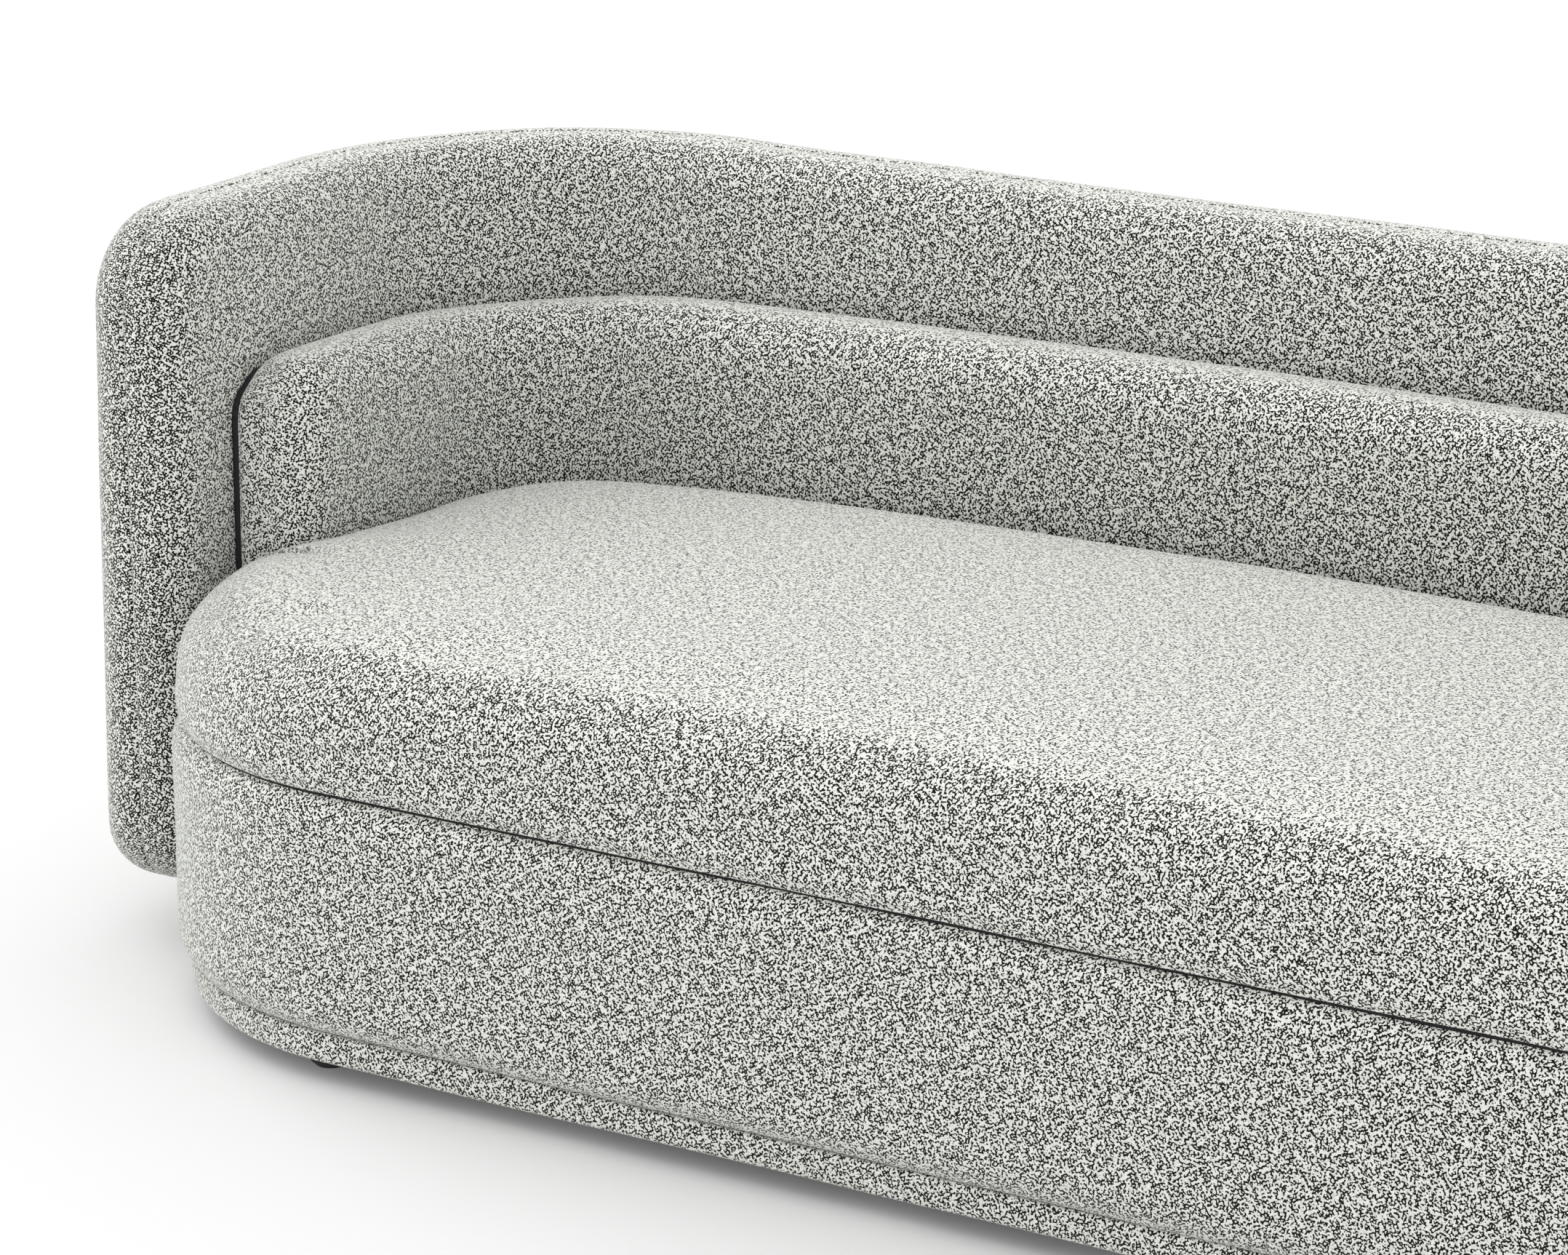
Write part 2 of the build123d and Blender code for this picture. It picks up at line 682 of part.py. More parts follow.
# Shell upholstery
shell_outside = shell_form(0.0)
shell_inside = shell_form(cover_thickness)
shell_foam_outside = shell_form(lining_inset)
shell_room_inset = shell_skin_depth - layer_gap
slot_inset = shell_room_inset + shell_slot_lip

with BuildPart() as shell_foam:
    add(shell_foam_outside)
    plan = shell_plan(shell_bottom_height + shell_sole_thickness, shell_room_inset, shell_cap_thickness)
    extrude(plan, amount=overall_height - shell_cap_thickness - shell_bottom_height - shell_sole_thickness,
            mode=Mode.SUBTRACT)
    plan = shell_plan(shell_bottom_height, slot_inset, shell_cap_thickness + shell_slot_lip)
    extrude(plan, amount=2 * shell_sole_thickness, mode=Mode.SUBTRACT)
    bore_for_bolts()
export(shell_foam, "shell_foam")

with BuildPart() as shell_cover:
    add(shell_outside)
    add(shell_inside, mode=Mode.SUBTRACT)
    plan = shell_plan(shell_bottom_height, slot_inset, shell_cap_thickness + shell_slot_lip)
    extrude(plan, amount=2 * shell_sole_thickness, mode=Mode.SUBTRACT)
    bore_for_bolts()
export(shell_cover, "shell_cover")

# Bolts, washers, spacers and tee nuts
rail_inner_face = -frame_inset - base_rail_thickness
bolt_tip = bolt_post_outer - tee_nut_flange_thickness
with BuildPart() as shell_bolts:
    along_bolts(rail_inner_face - washer_thickness, bolt_tip, bolt_diameter / 2)
    along_bolts(rail_inner_face - washer_thickness - bolt_head_height, rail_inner_face - washer_thickness,
                bolt_head_diameter / 2)
export(shell_bolts, "shell_bolts")

with BuildPart() as bolt_washers:
    along_bolts(rail_inner_face - washer_thickness, rail_inner_face, washer_diameter / 2)
    along_bolts(rail_inner_face - washer_thickness, rail_inner_face, bolt_diameter / 2 + bolt_clearance,
                Mode.SUBTRACT)
export(bolt_washers, "bolt_washers")

with BuildPart() as joint_spacers:
    along_bolts(layer_gap, base_side_gap - layer_gap, spacer_diameter / 2)
    along_bolts(layer_gap, base_side_gap - layer_gap, bolt_diameter / 2 + bolt_clearance, Mode.SUBTRACT)
export(joint_spacers, "joint_spacers")

with BuildPart() as tee_nuts:
    along_bolts(bolt_post_outer - tee_nut_flange_thickness, bolt_post_outer, tee_nut_flange_diameter / 2)
    along_bolts(bolt_post_outer - tee_nut_flange_thickness - tee_nut_barrel_length, bolt_post_outer,
                tee_nut_barrel_diameter / 2)
    along_bolts(bolt_post_outer - tee_nut_flange_thickness - tee_nut_barrel_length, bolt_post_outer,
                bolt_diameter / 2 + tee_nut_clearance, Mode.SUBTRACT)
export(tee_nuts, "tee_nuts")

# Back pad
pad_outside = pad_form(0.0)
pad_inside = pad_form(cover_thickness)
pad_foam_outside = pad_form(lining_inset)
pad_board_bottom = pad_bottom_height + pad_window_margin / 2
pad_board_top = pad_side_height - pad_edge_radius - pad_window_margin / 2
board_depth = lining_inset + pad_board_thickness

with BuildPart() as back_pad_board:
    plan = pad_plan(pad_board_bottom, lining_inset, pad_thickness - board_depth - pad_gap,
             pad_edge_radius + layer_gap)
    extrude(plan, amount=pad_board_top - pad_board_bottom)
export(back_pad_board, "back_pad_board")

with BuildPart() as back_pad_foam:
    add(pad_foam_outside)
    plan = pad_plan(pad_board_bottom - layer_gap, 0.0, pad_thickness - board_depth - layer_gap - pad_gap,
             pad_edge_radius)
    extrude(plan, amount=pad_board_top - pad_board_bottom + 2 * layer_gap, mode=Mode.SUBTRACT)
export(back_pad_foam, "back_pad_foam")

with BuildPart() as back_pad_cover:
    add(pad_outside)
    add(pad_inside, mode=Mode.SUBTRACT)
    plan = pad_plan(pad_bottom_height + pad_window_margin, 0.0, pad_thickness - lining_inset - pad_gap,
             pad_edge_radius + pad_window_margin)
    extrude(plan, amount=pad_board_top - pad_window_margin / 2 - pad_bottom_height - pad_window_margin,
            mode=Mode.SUBTRACT)
export(back_pad_cover, "back_pad_cover")

strip_thickness = pad_gap + lining_inset
strip_height = (pad_board_bottom + pad_board_top) / 2
with BuildPart() as back_pad_strips:
    with Locations(*[(x, shell_inner_rear_y, strip_height) for x in pad_strip_positions]):
        Box(pad_strip_length, strip_thickness, pad_strip_width, align=(Align.CENTER, Align.MAX, Align.CENTER))
export(back_pad_strips, "back_pad_strips")

# Seat cushion
seat_outside = seat_form(0.0)
seat_inside = seat_form(cover_thickness)
seat_wrap_outside = seat_form(lining_inset)
core_bottom = seat_bottom_height + lining_inset


def seat_block(height, inset, amount, mode=Mode.ADD):
    """A straight-sided block with the seat's plan."""
    plan = base_plan(height, inset, seat_front_setback)
    extrude(plan, amount=amount, mode=mode)


with BuildPart() as seat_core:
    seat_block(core_bottom, seat_core_inset, seat_core_height)
    seat_notch(seat_core_inset)
export(seat_core, "seat_core")

with BuildPart() as seat_core_room:
    seat_block(seat_bottom_height, seat_core_inset - layer_gap, seat_core_height + lining_inset + layer_gap)
    seat_notch(seat_core_inset - layer_gap)

with BuildPart() as seat_wrap:
    add(seat_wrap_outside)
    add(seat_core_room.part, mode=Mode.SUBTRACT)
export(seat_wrap, "seat_wrap")

with BuildPart() as seat_underside:
    seat_block(seat_bottom_height, seat_underside_inset, cover_thickness)
    seat_notch(seat_underside_inset)
export(seat_underside, "seat_underside")

with BuildPart() as seat_underside_room:
    seat_block(seat_bottom_height, seat_underside_inset - layer_gap, lining_inset)
    seat_notch(seat_underside_inset - layer_gap)

with BuildPart() as seat_cover:
    add(seat_outside)
    add(seat_inside, mode=Mode.SUBTRACT)
    add(seat_underside_room.part, mode=Mode.SUBTRACT)
export(seat_cover, "seat_cover")
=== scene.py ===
"""Looks of a wrap-around bench sofa: soft upholstery meshes, nubby fabric, studio floor, light and camera.

Metres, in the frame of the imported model. Each upholstered piece is a grid of points that runs round an
outline, with a profile that rolls over its edges, so that it follows the solids that it stands for. Each
grid also carries its place on the cloth, in metres, which the fabric's pattern is drawn from.
"""
import json
import math

import bmesh
import bpy
import numpy as np
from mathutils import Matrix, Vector, noise


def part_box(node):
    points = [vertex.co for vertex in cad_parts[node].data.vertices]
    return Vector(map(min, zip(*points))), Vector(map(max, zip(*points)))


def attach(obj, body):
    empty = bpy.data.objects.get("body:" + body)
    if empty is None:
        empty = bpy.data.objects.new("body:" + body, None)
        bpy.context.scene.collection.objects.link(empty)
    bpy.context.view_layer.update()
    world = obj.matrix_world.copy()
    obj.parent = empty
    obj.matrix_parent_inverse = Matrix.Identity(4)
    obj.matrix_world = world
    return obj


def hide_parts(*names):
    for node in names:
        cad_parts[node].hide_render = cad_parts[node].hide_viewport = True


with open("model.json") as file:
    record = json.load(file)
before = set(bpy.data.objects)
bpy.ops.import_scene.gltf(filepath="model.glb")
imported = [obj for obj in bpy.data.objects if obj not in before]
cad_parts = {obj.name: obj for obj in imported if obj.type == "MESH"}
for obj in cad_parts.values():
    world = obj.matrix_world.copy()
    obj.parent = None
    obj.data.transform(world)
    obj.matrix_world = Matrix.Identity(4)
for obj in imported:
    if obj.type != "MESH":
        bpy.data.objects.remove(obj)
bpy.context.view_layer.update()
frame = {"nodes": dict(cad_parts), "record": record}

# Sizes of the grids
GRID_STEP = 0.015
MERGE_DISTANCE = 1e-5
EDGE_TOLERANCE = 0.0005
PANEL_TOP_RINGS = 24
PANEL_UNDERSIDE_RINGS = 10
SEAT_TOP_RINGS = 24
SEAT_UNDERSIDE_RINGS = 12

# Sizes of the soft forms. A pair gives where a change starts and where it is full. A row of pairs gives
# the points of a profile: how far in and how far up, unless its comment says otherwise.
COVER = 0.0025
CONTACT_GAP = 0.001

ROLL_DEGREES = (78, 66, 54, 42, 30, 18, 8)
SEAM_DEPTH = 0.0026
# Offset across the rim and share of the seam's depth
SEAM_PROFILE = ((0.0035, -0.06), (0.0015, 0.30), (0.0, 1.0), (-0.0015, 0.30), (-0.0035, -0.06))
INNER_CUT_ALONG = 0.37
INNER_CUT_RISE = 0.5

SHELL_THICKNESS = 0.110
SHELL_REAR_RADIUS = 0.360
SHELL_OUTER_EDGE = 0.050
SHELL_NOSE_EDGE = 0.046
SHELL_NOSE_BELOW = 0.25
SHELL_TOP_BELOW = 0.02
SHELL_INNER_EDGE = 0.044
SHELL_FLARE = 0.008
SHELL_FLARE_MARGIN = 0.05
SHELL_ARM_RISE = 0.005
ARM_RISE_START = (0.0, 0.12)
ARM_RISE_END = (0.5, 1.3)
ARM_RISE_BELOW = 0.2
ARM_TOP_RADIUS = 0.090
ARM_FOOT_RADIUS = 0.056

PAD_THICKNESS = 0.0944
PAD_EDGE = 0.042
PAD_END_EDGE = 0.018
PAD_END_BELOW = (0.01, 0.06)
PAD_END_REACH = (0.002, 0.02)
# Painted shade: a black strip in the narrow end of the groove between pad and shell
PAD_SHADE_STRIP = 0.0070
# How far in and how far forward of the pad's rear face
PAD_SHADE_STRIP_CORNERS = ((0.0, PAD_SHADE_STRIP + 0.001), (0.0, 0.0), (0.003, 0.0), (0.006, 0.002))
PAD_UNDERCUT = 0.009
PAD_UNDERCUT_BELOW = 0.01
PAD_UNDERCUT_ABOVE = 0.10
PAD_END_RADIUS = 0.048
PAD_CROWN = 0.022
PAD_CORNER_DIP = 0.008
PAD_DIP_REACH = 0.16
PAD_HELD_BELOW = 0.09
PAD_FREE_BELOW = 0.03
PAD_GAP = 0.0006

BASE_FRONT_RADIUS = 0.320
BASE_REAR_RADIUS = 0.244
BASE_TOP_EDGE = 0.028
BASE_TOP_DEGREES = 12
BASE_BORDER_DROP = 0.0035
BASE_BOTTOM_EDGE = 0.040
BASE_BOTTOM_DEGREES = 8
BASE_ROLL_DROP = 0.0082
BASE_ROLL_END = 0.0135
BASE_TURN_UNDER = ((0.001, 0.0026), (0.004, 0.0030))
BASE_UNDERSIDE_LIFT = 0.0030
BASE_RETURN_START = 0.028
BASE_LOWER_RETURN = 0.064
DECK_BORDER = 0.0623
DECK_SAG = 0.003
PLINTH_INSET = 0.012
PLINTH_TOP = ((0.024, 0.0005), (0.010, 0.0005), (0.004, 0.0004), (0.0024, 0.0002),
              (0.0012, -0.0006), (0.0004, -0.0018), (0.0, -0.0035))
PLINTH_FOOT = ((0.0, 0.006), (0.002, 0.0018), (0.006, 0.0), (0.024, 0.0))
PLINTH_WALL_STEP = 0.008
DUST_SHEET_INSET = 0.019
DUST_SHEET_SAG = 0.004

SEAT_EDGE = 0.066
SEAT_LIP_EDGE = 0.003
SEAT_LIP_HANG = 0.0045
# How far in and share of the lip's hang
SEAT_LIP_TURN = ((0.030, 0.0), (0.021, 0.35), (0.0155, 0.75))
SEAT_LIP_DEGREES = (90, 60, 30)
SEAT_WALL_SHARES = (0.0, 0.12, 0.25, 0.4, 0.6, 0.8)
SEAT_ROLL_DEGREES = (0, 11, 22, 33, 44, 55, 66, 78)
SEAT_SEAM_DEGREES = 55
SEAT_SLANT_LIMIT = 0.25
SEAT_SIDE_CUT = 3.0
SEAT_TOP_CUT = 0.11
# Painted shade: a black strip behind the cushion's lip that shows as a dark line under it
SEAT_SHADE_STRIP = 0.0030
SEAT_SHADE_STRIP_LIFT = 0.001
SEAT_SHADE_STRIP_CORNERS = ((0.001, 0.0), (0.001, 0.005), (0.0025, 0.005), (0.0025, 0.0005))
SEAT_LOWER_TUCK = 0.0085
SEAT_TUCK_HEIGHT = 0.034
SEAT_EAR_ROLL = 0.110
SEAT_EAR_SPAN = (0.66, 0.95)
SEAT_CONTACT_EDGE = 0.012
SEAT_BACK_FALL = 0.005
SEAT_NOTCH_FALL = 0.012
SEAT_NOTCH_SPAN = (0.55, 0.85)
SEAT_EAR_PRESS = 0.1
SEAT_PRESS_LEAD = 0.02
SEAT_PRESS_FULL_Y = 0.06
SEAT_CONTACT_REACH = 0.055
SEAT_FREE_HEIGHT = (0.004, 0.03)
SEAT_FREE_REACH = (0.004, 0.05)
SEAT_CROWN_HEIGHT = 0.142
SEAT_SIDE_FALL = 0.026
SEAT_DEPTH_FALL = 0.012
SEAT_SPINE_X = 0.62
SEAT_SPINE_Y = -0.24
LINING_INSET = 0.052
LINING_LAP_IN = 0.002
LINING_LAP_OUT = 0.001
LINING_RECESS = 0.0012
LINING_LIFT = 0.0006

# The cloth simulation
SWELL_FRAMES = 20
SWELL_PRESSURE = 4.0
SWELL_EVEN_ROUNDS = 6
PAD_SWELL = 0.006
SEAT_SWELL = 0.008
HELD_FAST = 0.98

# Sizes and tones of the fabrics
NUB_PITCH = 0.0030
NUB_DARK = (0.78, 0.79, 0.735, 1)
NUB_LIGHT = (0.93, 0.94, 0.885, 1)
GROUND_TONE = (0.006, 0.0065, 0.006, 1)
SHEEN_TINT = (0.98, 0.99, 0.95, 1)
CLOTH_TURN = 33
DRIFT_SCALE = 220.0
DRIFT_SHARE = 0.7
SLUB_SIZE = 0.0070
SLUB_SHARE = 0.6
SPECK_SIZE = 0.0027
SPECK_LEVEL = (0.752, 0.777)
SPECK_BORDER = (0.235, 0.275)
# Painted light: cloth that faces up gets fewer dark specks, so it shows lighter
TOP_LIGHT_UPWARD = (0.85, 0.995)
TOP_PAINTED_LIGHT = 0.095
# Painted shade: the arms' front ends get more dark specks, so they show darker
ARM_FRONT_X = (0.995, 1.03)
ARM_FRONT_Y = (-0.14, -0.20)
ARM_FRONT_PAINTED_SHADE = 0.06
LINING_PITCH = 0.0012
WEBBING_PITCH = 0.0030

# Stage
FLOOR_REACH = 40.0
FLOOR_TONE = 0.80
FLOOR_GLOW = 0.08
WORLD_STRENGTH = 1.03
CAMERA_PLACE = (1.9998, -4.0145, 1.793)
CAMERA_DOWN = 16.95
CAMERA_TURN = 31.47
CAMERA_SENSOR = 36.0
CAMERA_LENS = 120.67
CAMERA_FAR = 200.0

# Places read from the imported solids
shell_low, shell_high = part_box("shell_cover")
base_low, base_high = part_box("base_cover")
plinth_low, plinth_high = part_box("plinth_cover")
pad_low, pad_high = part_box("back_pad_cover")
seat_low, seat_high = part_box("seat_cover")
deck_low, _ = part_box("deck_pad")
dust_low, dust_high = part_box("dust_cover")
notch_x = pad_high.x - PAD_THICKNESS - CONTACT_GAP
notch_y = seat_high.y
notch_radius = SHELL_REAR_RADIUS - SHELL_THICKNESS - PAD_GAP - PAD_THICKNESS - CONTACT_GAP
ear_y = pad_low.y - CONTACT_GAP
ear_radius = PAD_EDGE + CONTACT_GAP
ear_turn_x = notch_x + ear_radius
ear_turn_y = ear_y + ear_radius

# Meshes and outlines


def make_mesh(name, rows, cloth, columns_closed=False, cloth_length=0.0,
              seam_column=None, seam_cloth=None):
    """A quad mesh from a closed run of rows of points, with points that fall together merged.

    cloth_length is how far the cloth has run when the rows close, for all columns or for each. Past the
    seam's column, where two cuts of cloth meet, the places on the cloth start from seam_cloth.
    """
    row_count, column_count = rows.shape[:2]
    face_columns = column_count if columns_closed else column_count - 1
    row, column = np.meshgrid(np.arange(row_count), np.arange(face_columns), indexing="ij")
    next_row = (row + 1) % row_count
    next_column = (column + 1) % column_count
    corners = [(row, column), (next_row, column), (next_row, next_column), (row, next_column)]
    faces = np.stack([at_row * column_count + at_column for at_row, at_column in corners], axis=-1)
    corner_cloth = np.stack([cloth[at_row, at_column] for at_row, at_column in corners], axis=-2)
    if seam_column is not None:
        corner_cloth[:, seam_column, 0] = seam_cloth
        corner_cloth[:, seam_column, 1] = np.roll(seam_cloth, -1, axis=0)
    corner_cloth[-1, :, 1:3, 0] += np.broadcast_to(cloth_length, face_columns)[:, None]
    mesh = bpy.data.meshes.new(name)
    mesh.from_pydata(rows.reshape(-1, 3).tolist(), [], faces.reshape(-1, 4).tolist())
    layer = mesh.uv_layers.new(name="cloth")
    layer.data.foreach_set("uv", corner_cloth.ravel())
    cleaner = bmesh.new()
    cleaner.from_mesh(mesh)
    bmesh.ops.remove_doubles(cleaner, verts=cleaner.verts, dist=MERGE_DISTANCE)
    bmesh.ops.recalc_face_normals(cleaner, faces=cleaner.faces)
    cleaner.to_mesh(mesh)
    cleaner.free()
    mesh.polygons.foreach_set("use_smooth", [True] * len(mesh.polygons))
    piece = bpy.data.objects.new(name, mesh)
    bpy.context.scene.collection.objects.link(piece)
    return piece


def subdivide(piece):
    """Smooth a finished piece with a subdivision surface."""
    smoother = piece.modifiers.new("smooth", "SUBSURF")
    smoother.levels = 1
    smoother.render_levels = 1


def spread(start, end, step=GRID_STEP, last=True):
    """Evenly spaced values from start to end, about a step apart."""
    count = max(1, round(abs(end - start) / step))
    values = np.linspace(start, end, count + 1)
    return values if last else values[:-1]


def arc_run(centre, radius, start_degrees, end_degrees):
    """Points and outward normals round an arc, without its last point."""
    step_degrees = math.degrees(GRID_STEP / radius)
    angles = np.radians(spread(start_degrees, end_degrees, step_degrees, last=False))
    normals = np.stack([np.cos(angles), np.sin(angles)], axis=1)
    return np.asarray(centre) + radius * normals, normals


def straight_run(start, end, normal, stops=()):
    """Points and normals along a straight stretch without its last point, with set stops on the way."""
    marks = [np.asarray(mark, float) for mark in (start, *stops, end)]
    points = []
    for begin, finish in zip(marks, marks[1:]):
        length = np.linalg.norm(finish - begin)
        share = spread(0.0, length, last=False) / length
        points.append(begin + share[:, None] * (finish - begin))
    points = np.concatenate(points)
    return points, np.tile(np.asarray(normal, float), (len(points), 1))


def join_runs(*runs):
    """One outline from several runs: its points and its outward normals."""
    return np.concatenate([run[0] for run in runs]), np.concatenate([run[1] for run in runs])


def run_lengths(points):
    """The length along a run of points from its first point to each of them."""
    return np.concatenate([[0.0], np.cumsum(np.linalg.norm(np.diff(points, axis=0), axis=1))])


def outline_lengths(points):
    """The length along a closed outline to each of its points, and all the way round."""
    lengths = run_lengths(np.concatenate([points, points[:1]]))
    return lengths[:-1], lengths[-1]


def roll_profile(radius, degrees, level, way):
    """Profile points (inset, height) round an edge that rolls up or down, by its way, from a level."""
    rolls = np.radians(degrees)
    return [(radius * (1 - math.cos(roll)), level + way * radius * (1 - math.sin(roll))) for roll in rolls]


def lift(flat, level):
    """Flat places with one more measure: one level for all of them, or a level for each."""
    return np.column_stack([flat, np.broadcast_to(level, len(flat))])


def smooth_step(value, low, high):
    """0 below low, 1 above high, and a smooth rise between."""
    share = np.clip((value - low) / (high - low), 0.0, 1.0)
    return share * share * (3 - 2 * share)


def soft_noise(points, size, seed):
    """Slow, repeatable unevenness between about -1 and 1."""
    shift = Vector((seed * 7.3, seed * 3.1, seed * 5.7))
    return np.array([noise.noise(Vector(point) / size + shift) for point in points])


def read_points(mesh):
    """A mesh's points as an array."""
    points = np.zeros(len(mesh.vertices) * 3)
    mesh.vertices.foreach_get("co", points)
    return points.reshape(-1, 3)


def write_points(mesh, points):
    """Move a mesh's points to the places of an array."""
    mesh.vertices.foreach_set("co", points.ravel())
    mesh.update()


def ruffle(piece, amount, size, seed):
    """Move each point a little along its normal, as padding under cloth is never quite even."""
    points = read_points(piece.data)
    normals = np.array([vertex.normal for vertex in piece.data.vertices])
    write_points(piece.data, points + normals * (amount * soft_noise(points, size, seed))[:, None])


def even_out(mesh, values, rounds):
    """Average each point's value with its neighbours' a few times."""
    ends = np.zeros(len(mesh.edges) * 2, dtype=int)
    mesh.edges.foreach_get("vertices", ends)
    first, second = ends.reshape(-1, 2).T
    neighbours = np.bincount(ends, minlength=len(values))[:, None]
    for _ in range(rounds):
        sums = np.zeros_like(values)
        np.add.at(sums, first, values[second])
        np.add.at(sums, second, values[first])
        values = 0.5 * values + 0.5 * sums / neighbours
    return values


def swell(piece, cap, held):
    """Blow a padded piece up a little with a cloth simulation, and put back what is held in place.

    held is 1 where the padding rests on something and 0 where it is free. No point moves further than cap.
    """
    scene = bpy.context.scene
    rest = read_points(piece.data)
    group = piece.vertex_groups.new(name="held")
    group.add(np.flatnonzero(held > HELD_FAST).tolist(), 1.0, "REPLACE")
    cloth = piece.modifiers.new("cloth", "CLOTH")
    cloth.settings.quality = 6
    cloth.settings.mass = 0.4
    cloth.settings.tension_stiffness = 25.0
    cloth.settings.compression_stiffness = 25.0
    cloth.settings.shear_stiffness = 12.0
    cloth.settings.bending_stiffness = 4.0
    cloth.settings.use_pressure = True
    cloth.settings.uniform_pressure_force = SWELL_PRESSURE
    cloth.settings.vertex_group_mass = group.name
    cloth.settings.effector_weights.gravity = 0.0
    cloth.point_cache.frame_start = 1
    cloth.point_cache.frame_end = SWELL_FRAMES
    for step in range(1, SWELL_FRAMES + 1):
        scene.frame_set(step)
    swollen = piece.evaluated_get(bpy.context.evaluated_depsgraph_get())
    moved = read_points(swollen.to_mesh()) - rest
    swollen.to_mesh_clear()
    piece.modifiers.remove(cloth)
    piece.vertex_groups.remove(group)
    scene.frame_set(1)
    moved = even_out(piece.data, moved, SWELL_EVEN_ROUNDS)
    far = np.linalg.norm(moved, axis=1)
    kept = cap * np.tanh(far / cap) / np.maximum(far, 1e-9) * (1 - held)
    write_points(piece.data, rest + moved * kept[:, None])


# The band that wraps round the sofa


def wrap_length(half_x, back_y, end_y, radius):
    """Length of the line that runs up one side, round the back and down the other side."""
    return 2 * (back_y - radius - end_y) + math.pi * radius + 2 * (half_x - radius)


def wrap_place(along, half_x, back_y, end_y, radius):
    """Places and outward directions on that line, for lengths measured from its left end."""
    side = back_y - radius - end_y
    quarter = math.pi / 2 * radius
    back = 2 * (half_x - radius)
    left_turn = math.pi - np.clip((along - side) / radius, 0, math.pi / 2)
    right_turn = np.clip((along - side - quarter - back) / radius, 0, math.pi / 2)
    turn = left_turn - right_turn
    across = -half_x + radius + np.clip(along - side - quarter, 0, back)
    before = np.minimum(along - side, 0)
    after = np.maximum(along - side - 2 * quarter - back, 0)
    x = across + radius * np.cos(turn)
    y = back_y - radius + radius * np.sin(turn) + before - after
    return np.stack([x, y], axis=-1), np.stack([np.cos(turn), np.sin(turn)], axis=-1)


def slab_outline(length, low, high, top_radius, foot_radius):
    """Outline of a band laid flat, seen from its face, with rounded ends."""
    half = (high - low) / 2
    top_stops = [(half, high), (length - half, high)]
    low_stops = [(length - half, low), (half, low)]
    return join_runs(
        straight_run((top_radius, high), (length - top_radius, high), (0, 1), top_stops),
        arc_run((length - top_radius, high - top_radius), top_radius, 90, 0),
        straight_run((length, high - top_radius), (length, low + foot_radius), (1, 0)),
        arc_run((length - foot_radius, low + foot_radius), foot_radius, 0, -90),
        straight_run((length - foot_radius, low), (foot_radius, low), (0, -1), low_stops),
        arc_run((foot_radius, low + foot_radius), foot_radius, -90, -180),
        straight_run((0, low + foot_radius), (0, high - top_radius), (-1, 0)),
        arc_run((top_radius, high - top_radius), top_radius, 180, 90),
    )


def slab_rows(outline, length, low, high, thickness, outer_edge, inner_edge, seam_depth):
    """Flat places (along, up, out) over a padded band, and their places on the cloth.

    The columns run from the middle of the outer face over the rolled rim, with its seam, to the middle of
    the inner face. The edges give the roll's radius at each point of the outline. Also gives the seam's
    column and where the inner cut of cloth starts there.
    """
    points, normals = outline
    half = (high - low) / 2
    middle = lift(np.clip(points[:, 0], half, length - half), (low + high) / 2)
    flat = (thickness - outer_edge - inner_edge) / 2
    seam_out = (inner_edge - outer_edge) / 2
    shares = spread(0.0, 1.0, 2 * GRID_STEP / half)
    inner_cut = np.array([INNER_CUT_ALONG, high + INNER_CUT_RISE])
    places = []
    cloth = []

    def add(plan, out, on_cloth):
        places.append(lift(plan, out))
        cloth.append(on_cloth)

    def add_face(edge, side, cut, order):
        rim = points - edge[:, None] * normals
        for share in order:
            plan = rim + share * (middle - rim)
            add(plan, side * thickness / 2, plan + cut)

    def add_roll(edge, side, cut, degrees):
        rim = points - edge[:, None] * normals
        for roll in np.radians(degrees):
            run = edge * (math.pi / 2 - roll)
            plan = rim + math.cos(roll) * edge[:, None] * normals
            out = side * (thickness / 2 - edge * (1 - math.sin(roll)))
            add(plan, out, rim + run[:, None] * normals + cut)

    def seam_place(edge, offset, cut):
        run = edge * (math.pi / 2 - 1) + flat - abs(offset)
        return points + run[:, None] * normals + cut

    add_face(outer_edge, 1, 0.0, shares[::-1])
    add_roll(outer_edge, 1, 0.0, ROLL_DEGREES)
    seam_column = len(places) + len(SEAM_PROFILE) // 2
    for offset, dip in SEAM_PROFILE:
        edge = outer_edge if offset >= 0 else inner_edge
        cut = 0.0 if offset >= 0 else inner_cut
        add(points - seam_depth * dip * normals, seam_out + offset, seam_place(edge, offset, cut))
    add_roll(inner_edge, -1, inner_cut, ROLL_DEGREES[::-1])
    add_face(inner_edge, -1, inner_cut, shares)
    seam_cloth = seam_place(inner_edge, 0.0, inner_cut)
    return np.stack(places, axis=1), np.stack(cloth, axis=1), seam_column, seam_cloth


def bend_slab(rows, half_x, back_y, end_y, radius):
    """Bend flat places round the wrap line, which runs through the middle of the band."""
    place, outward = wrap_place(rows[..., 0], half_x, back_y, end_y, radius)
    plan = place + rows[..., 2:3] * outward
    return np.concatenate([plan, rows[..., 1:2]], axis=-1)


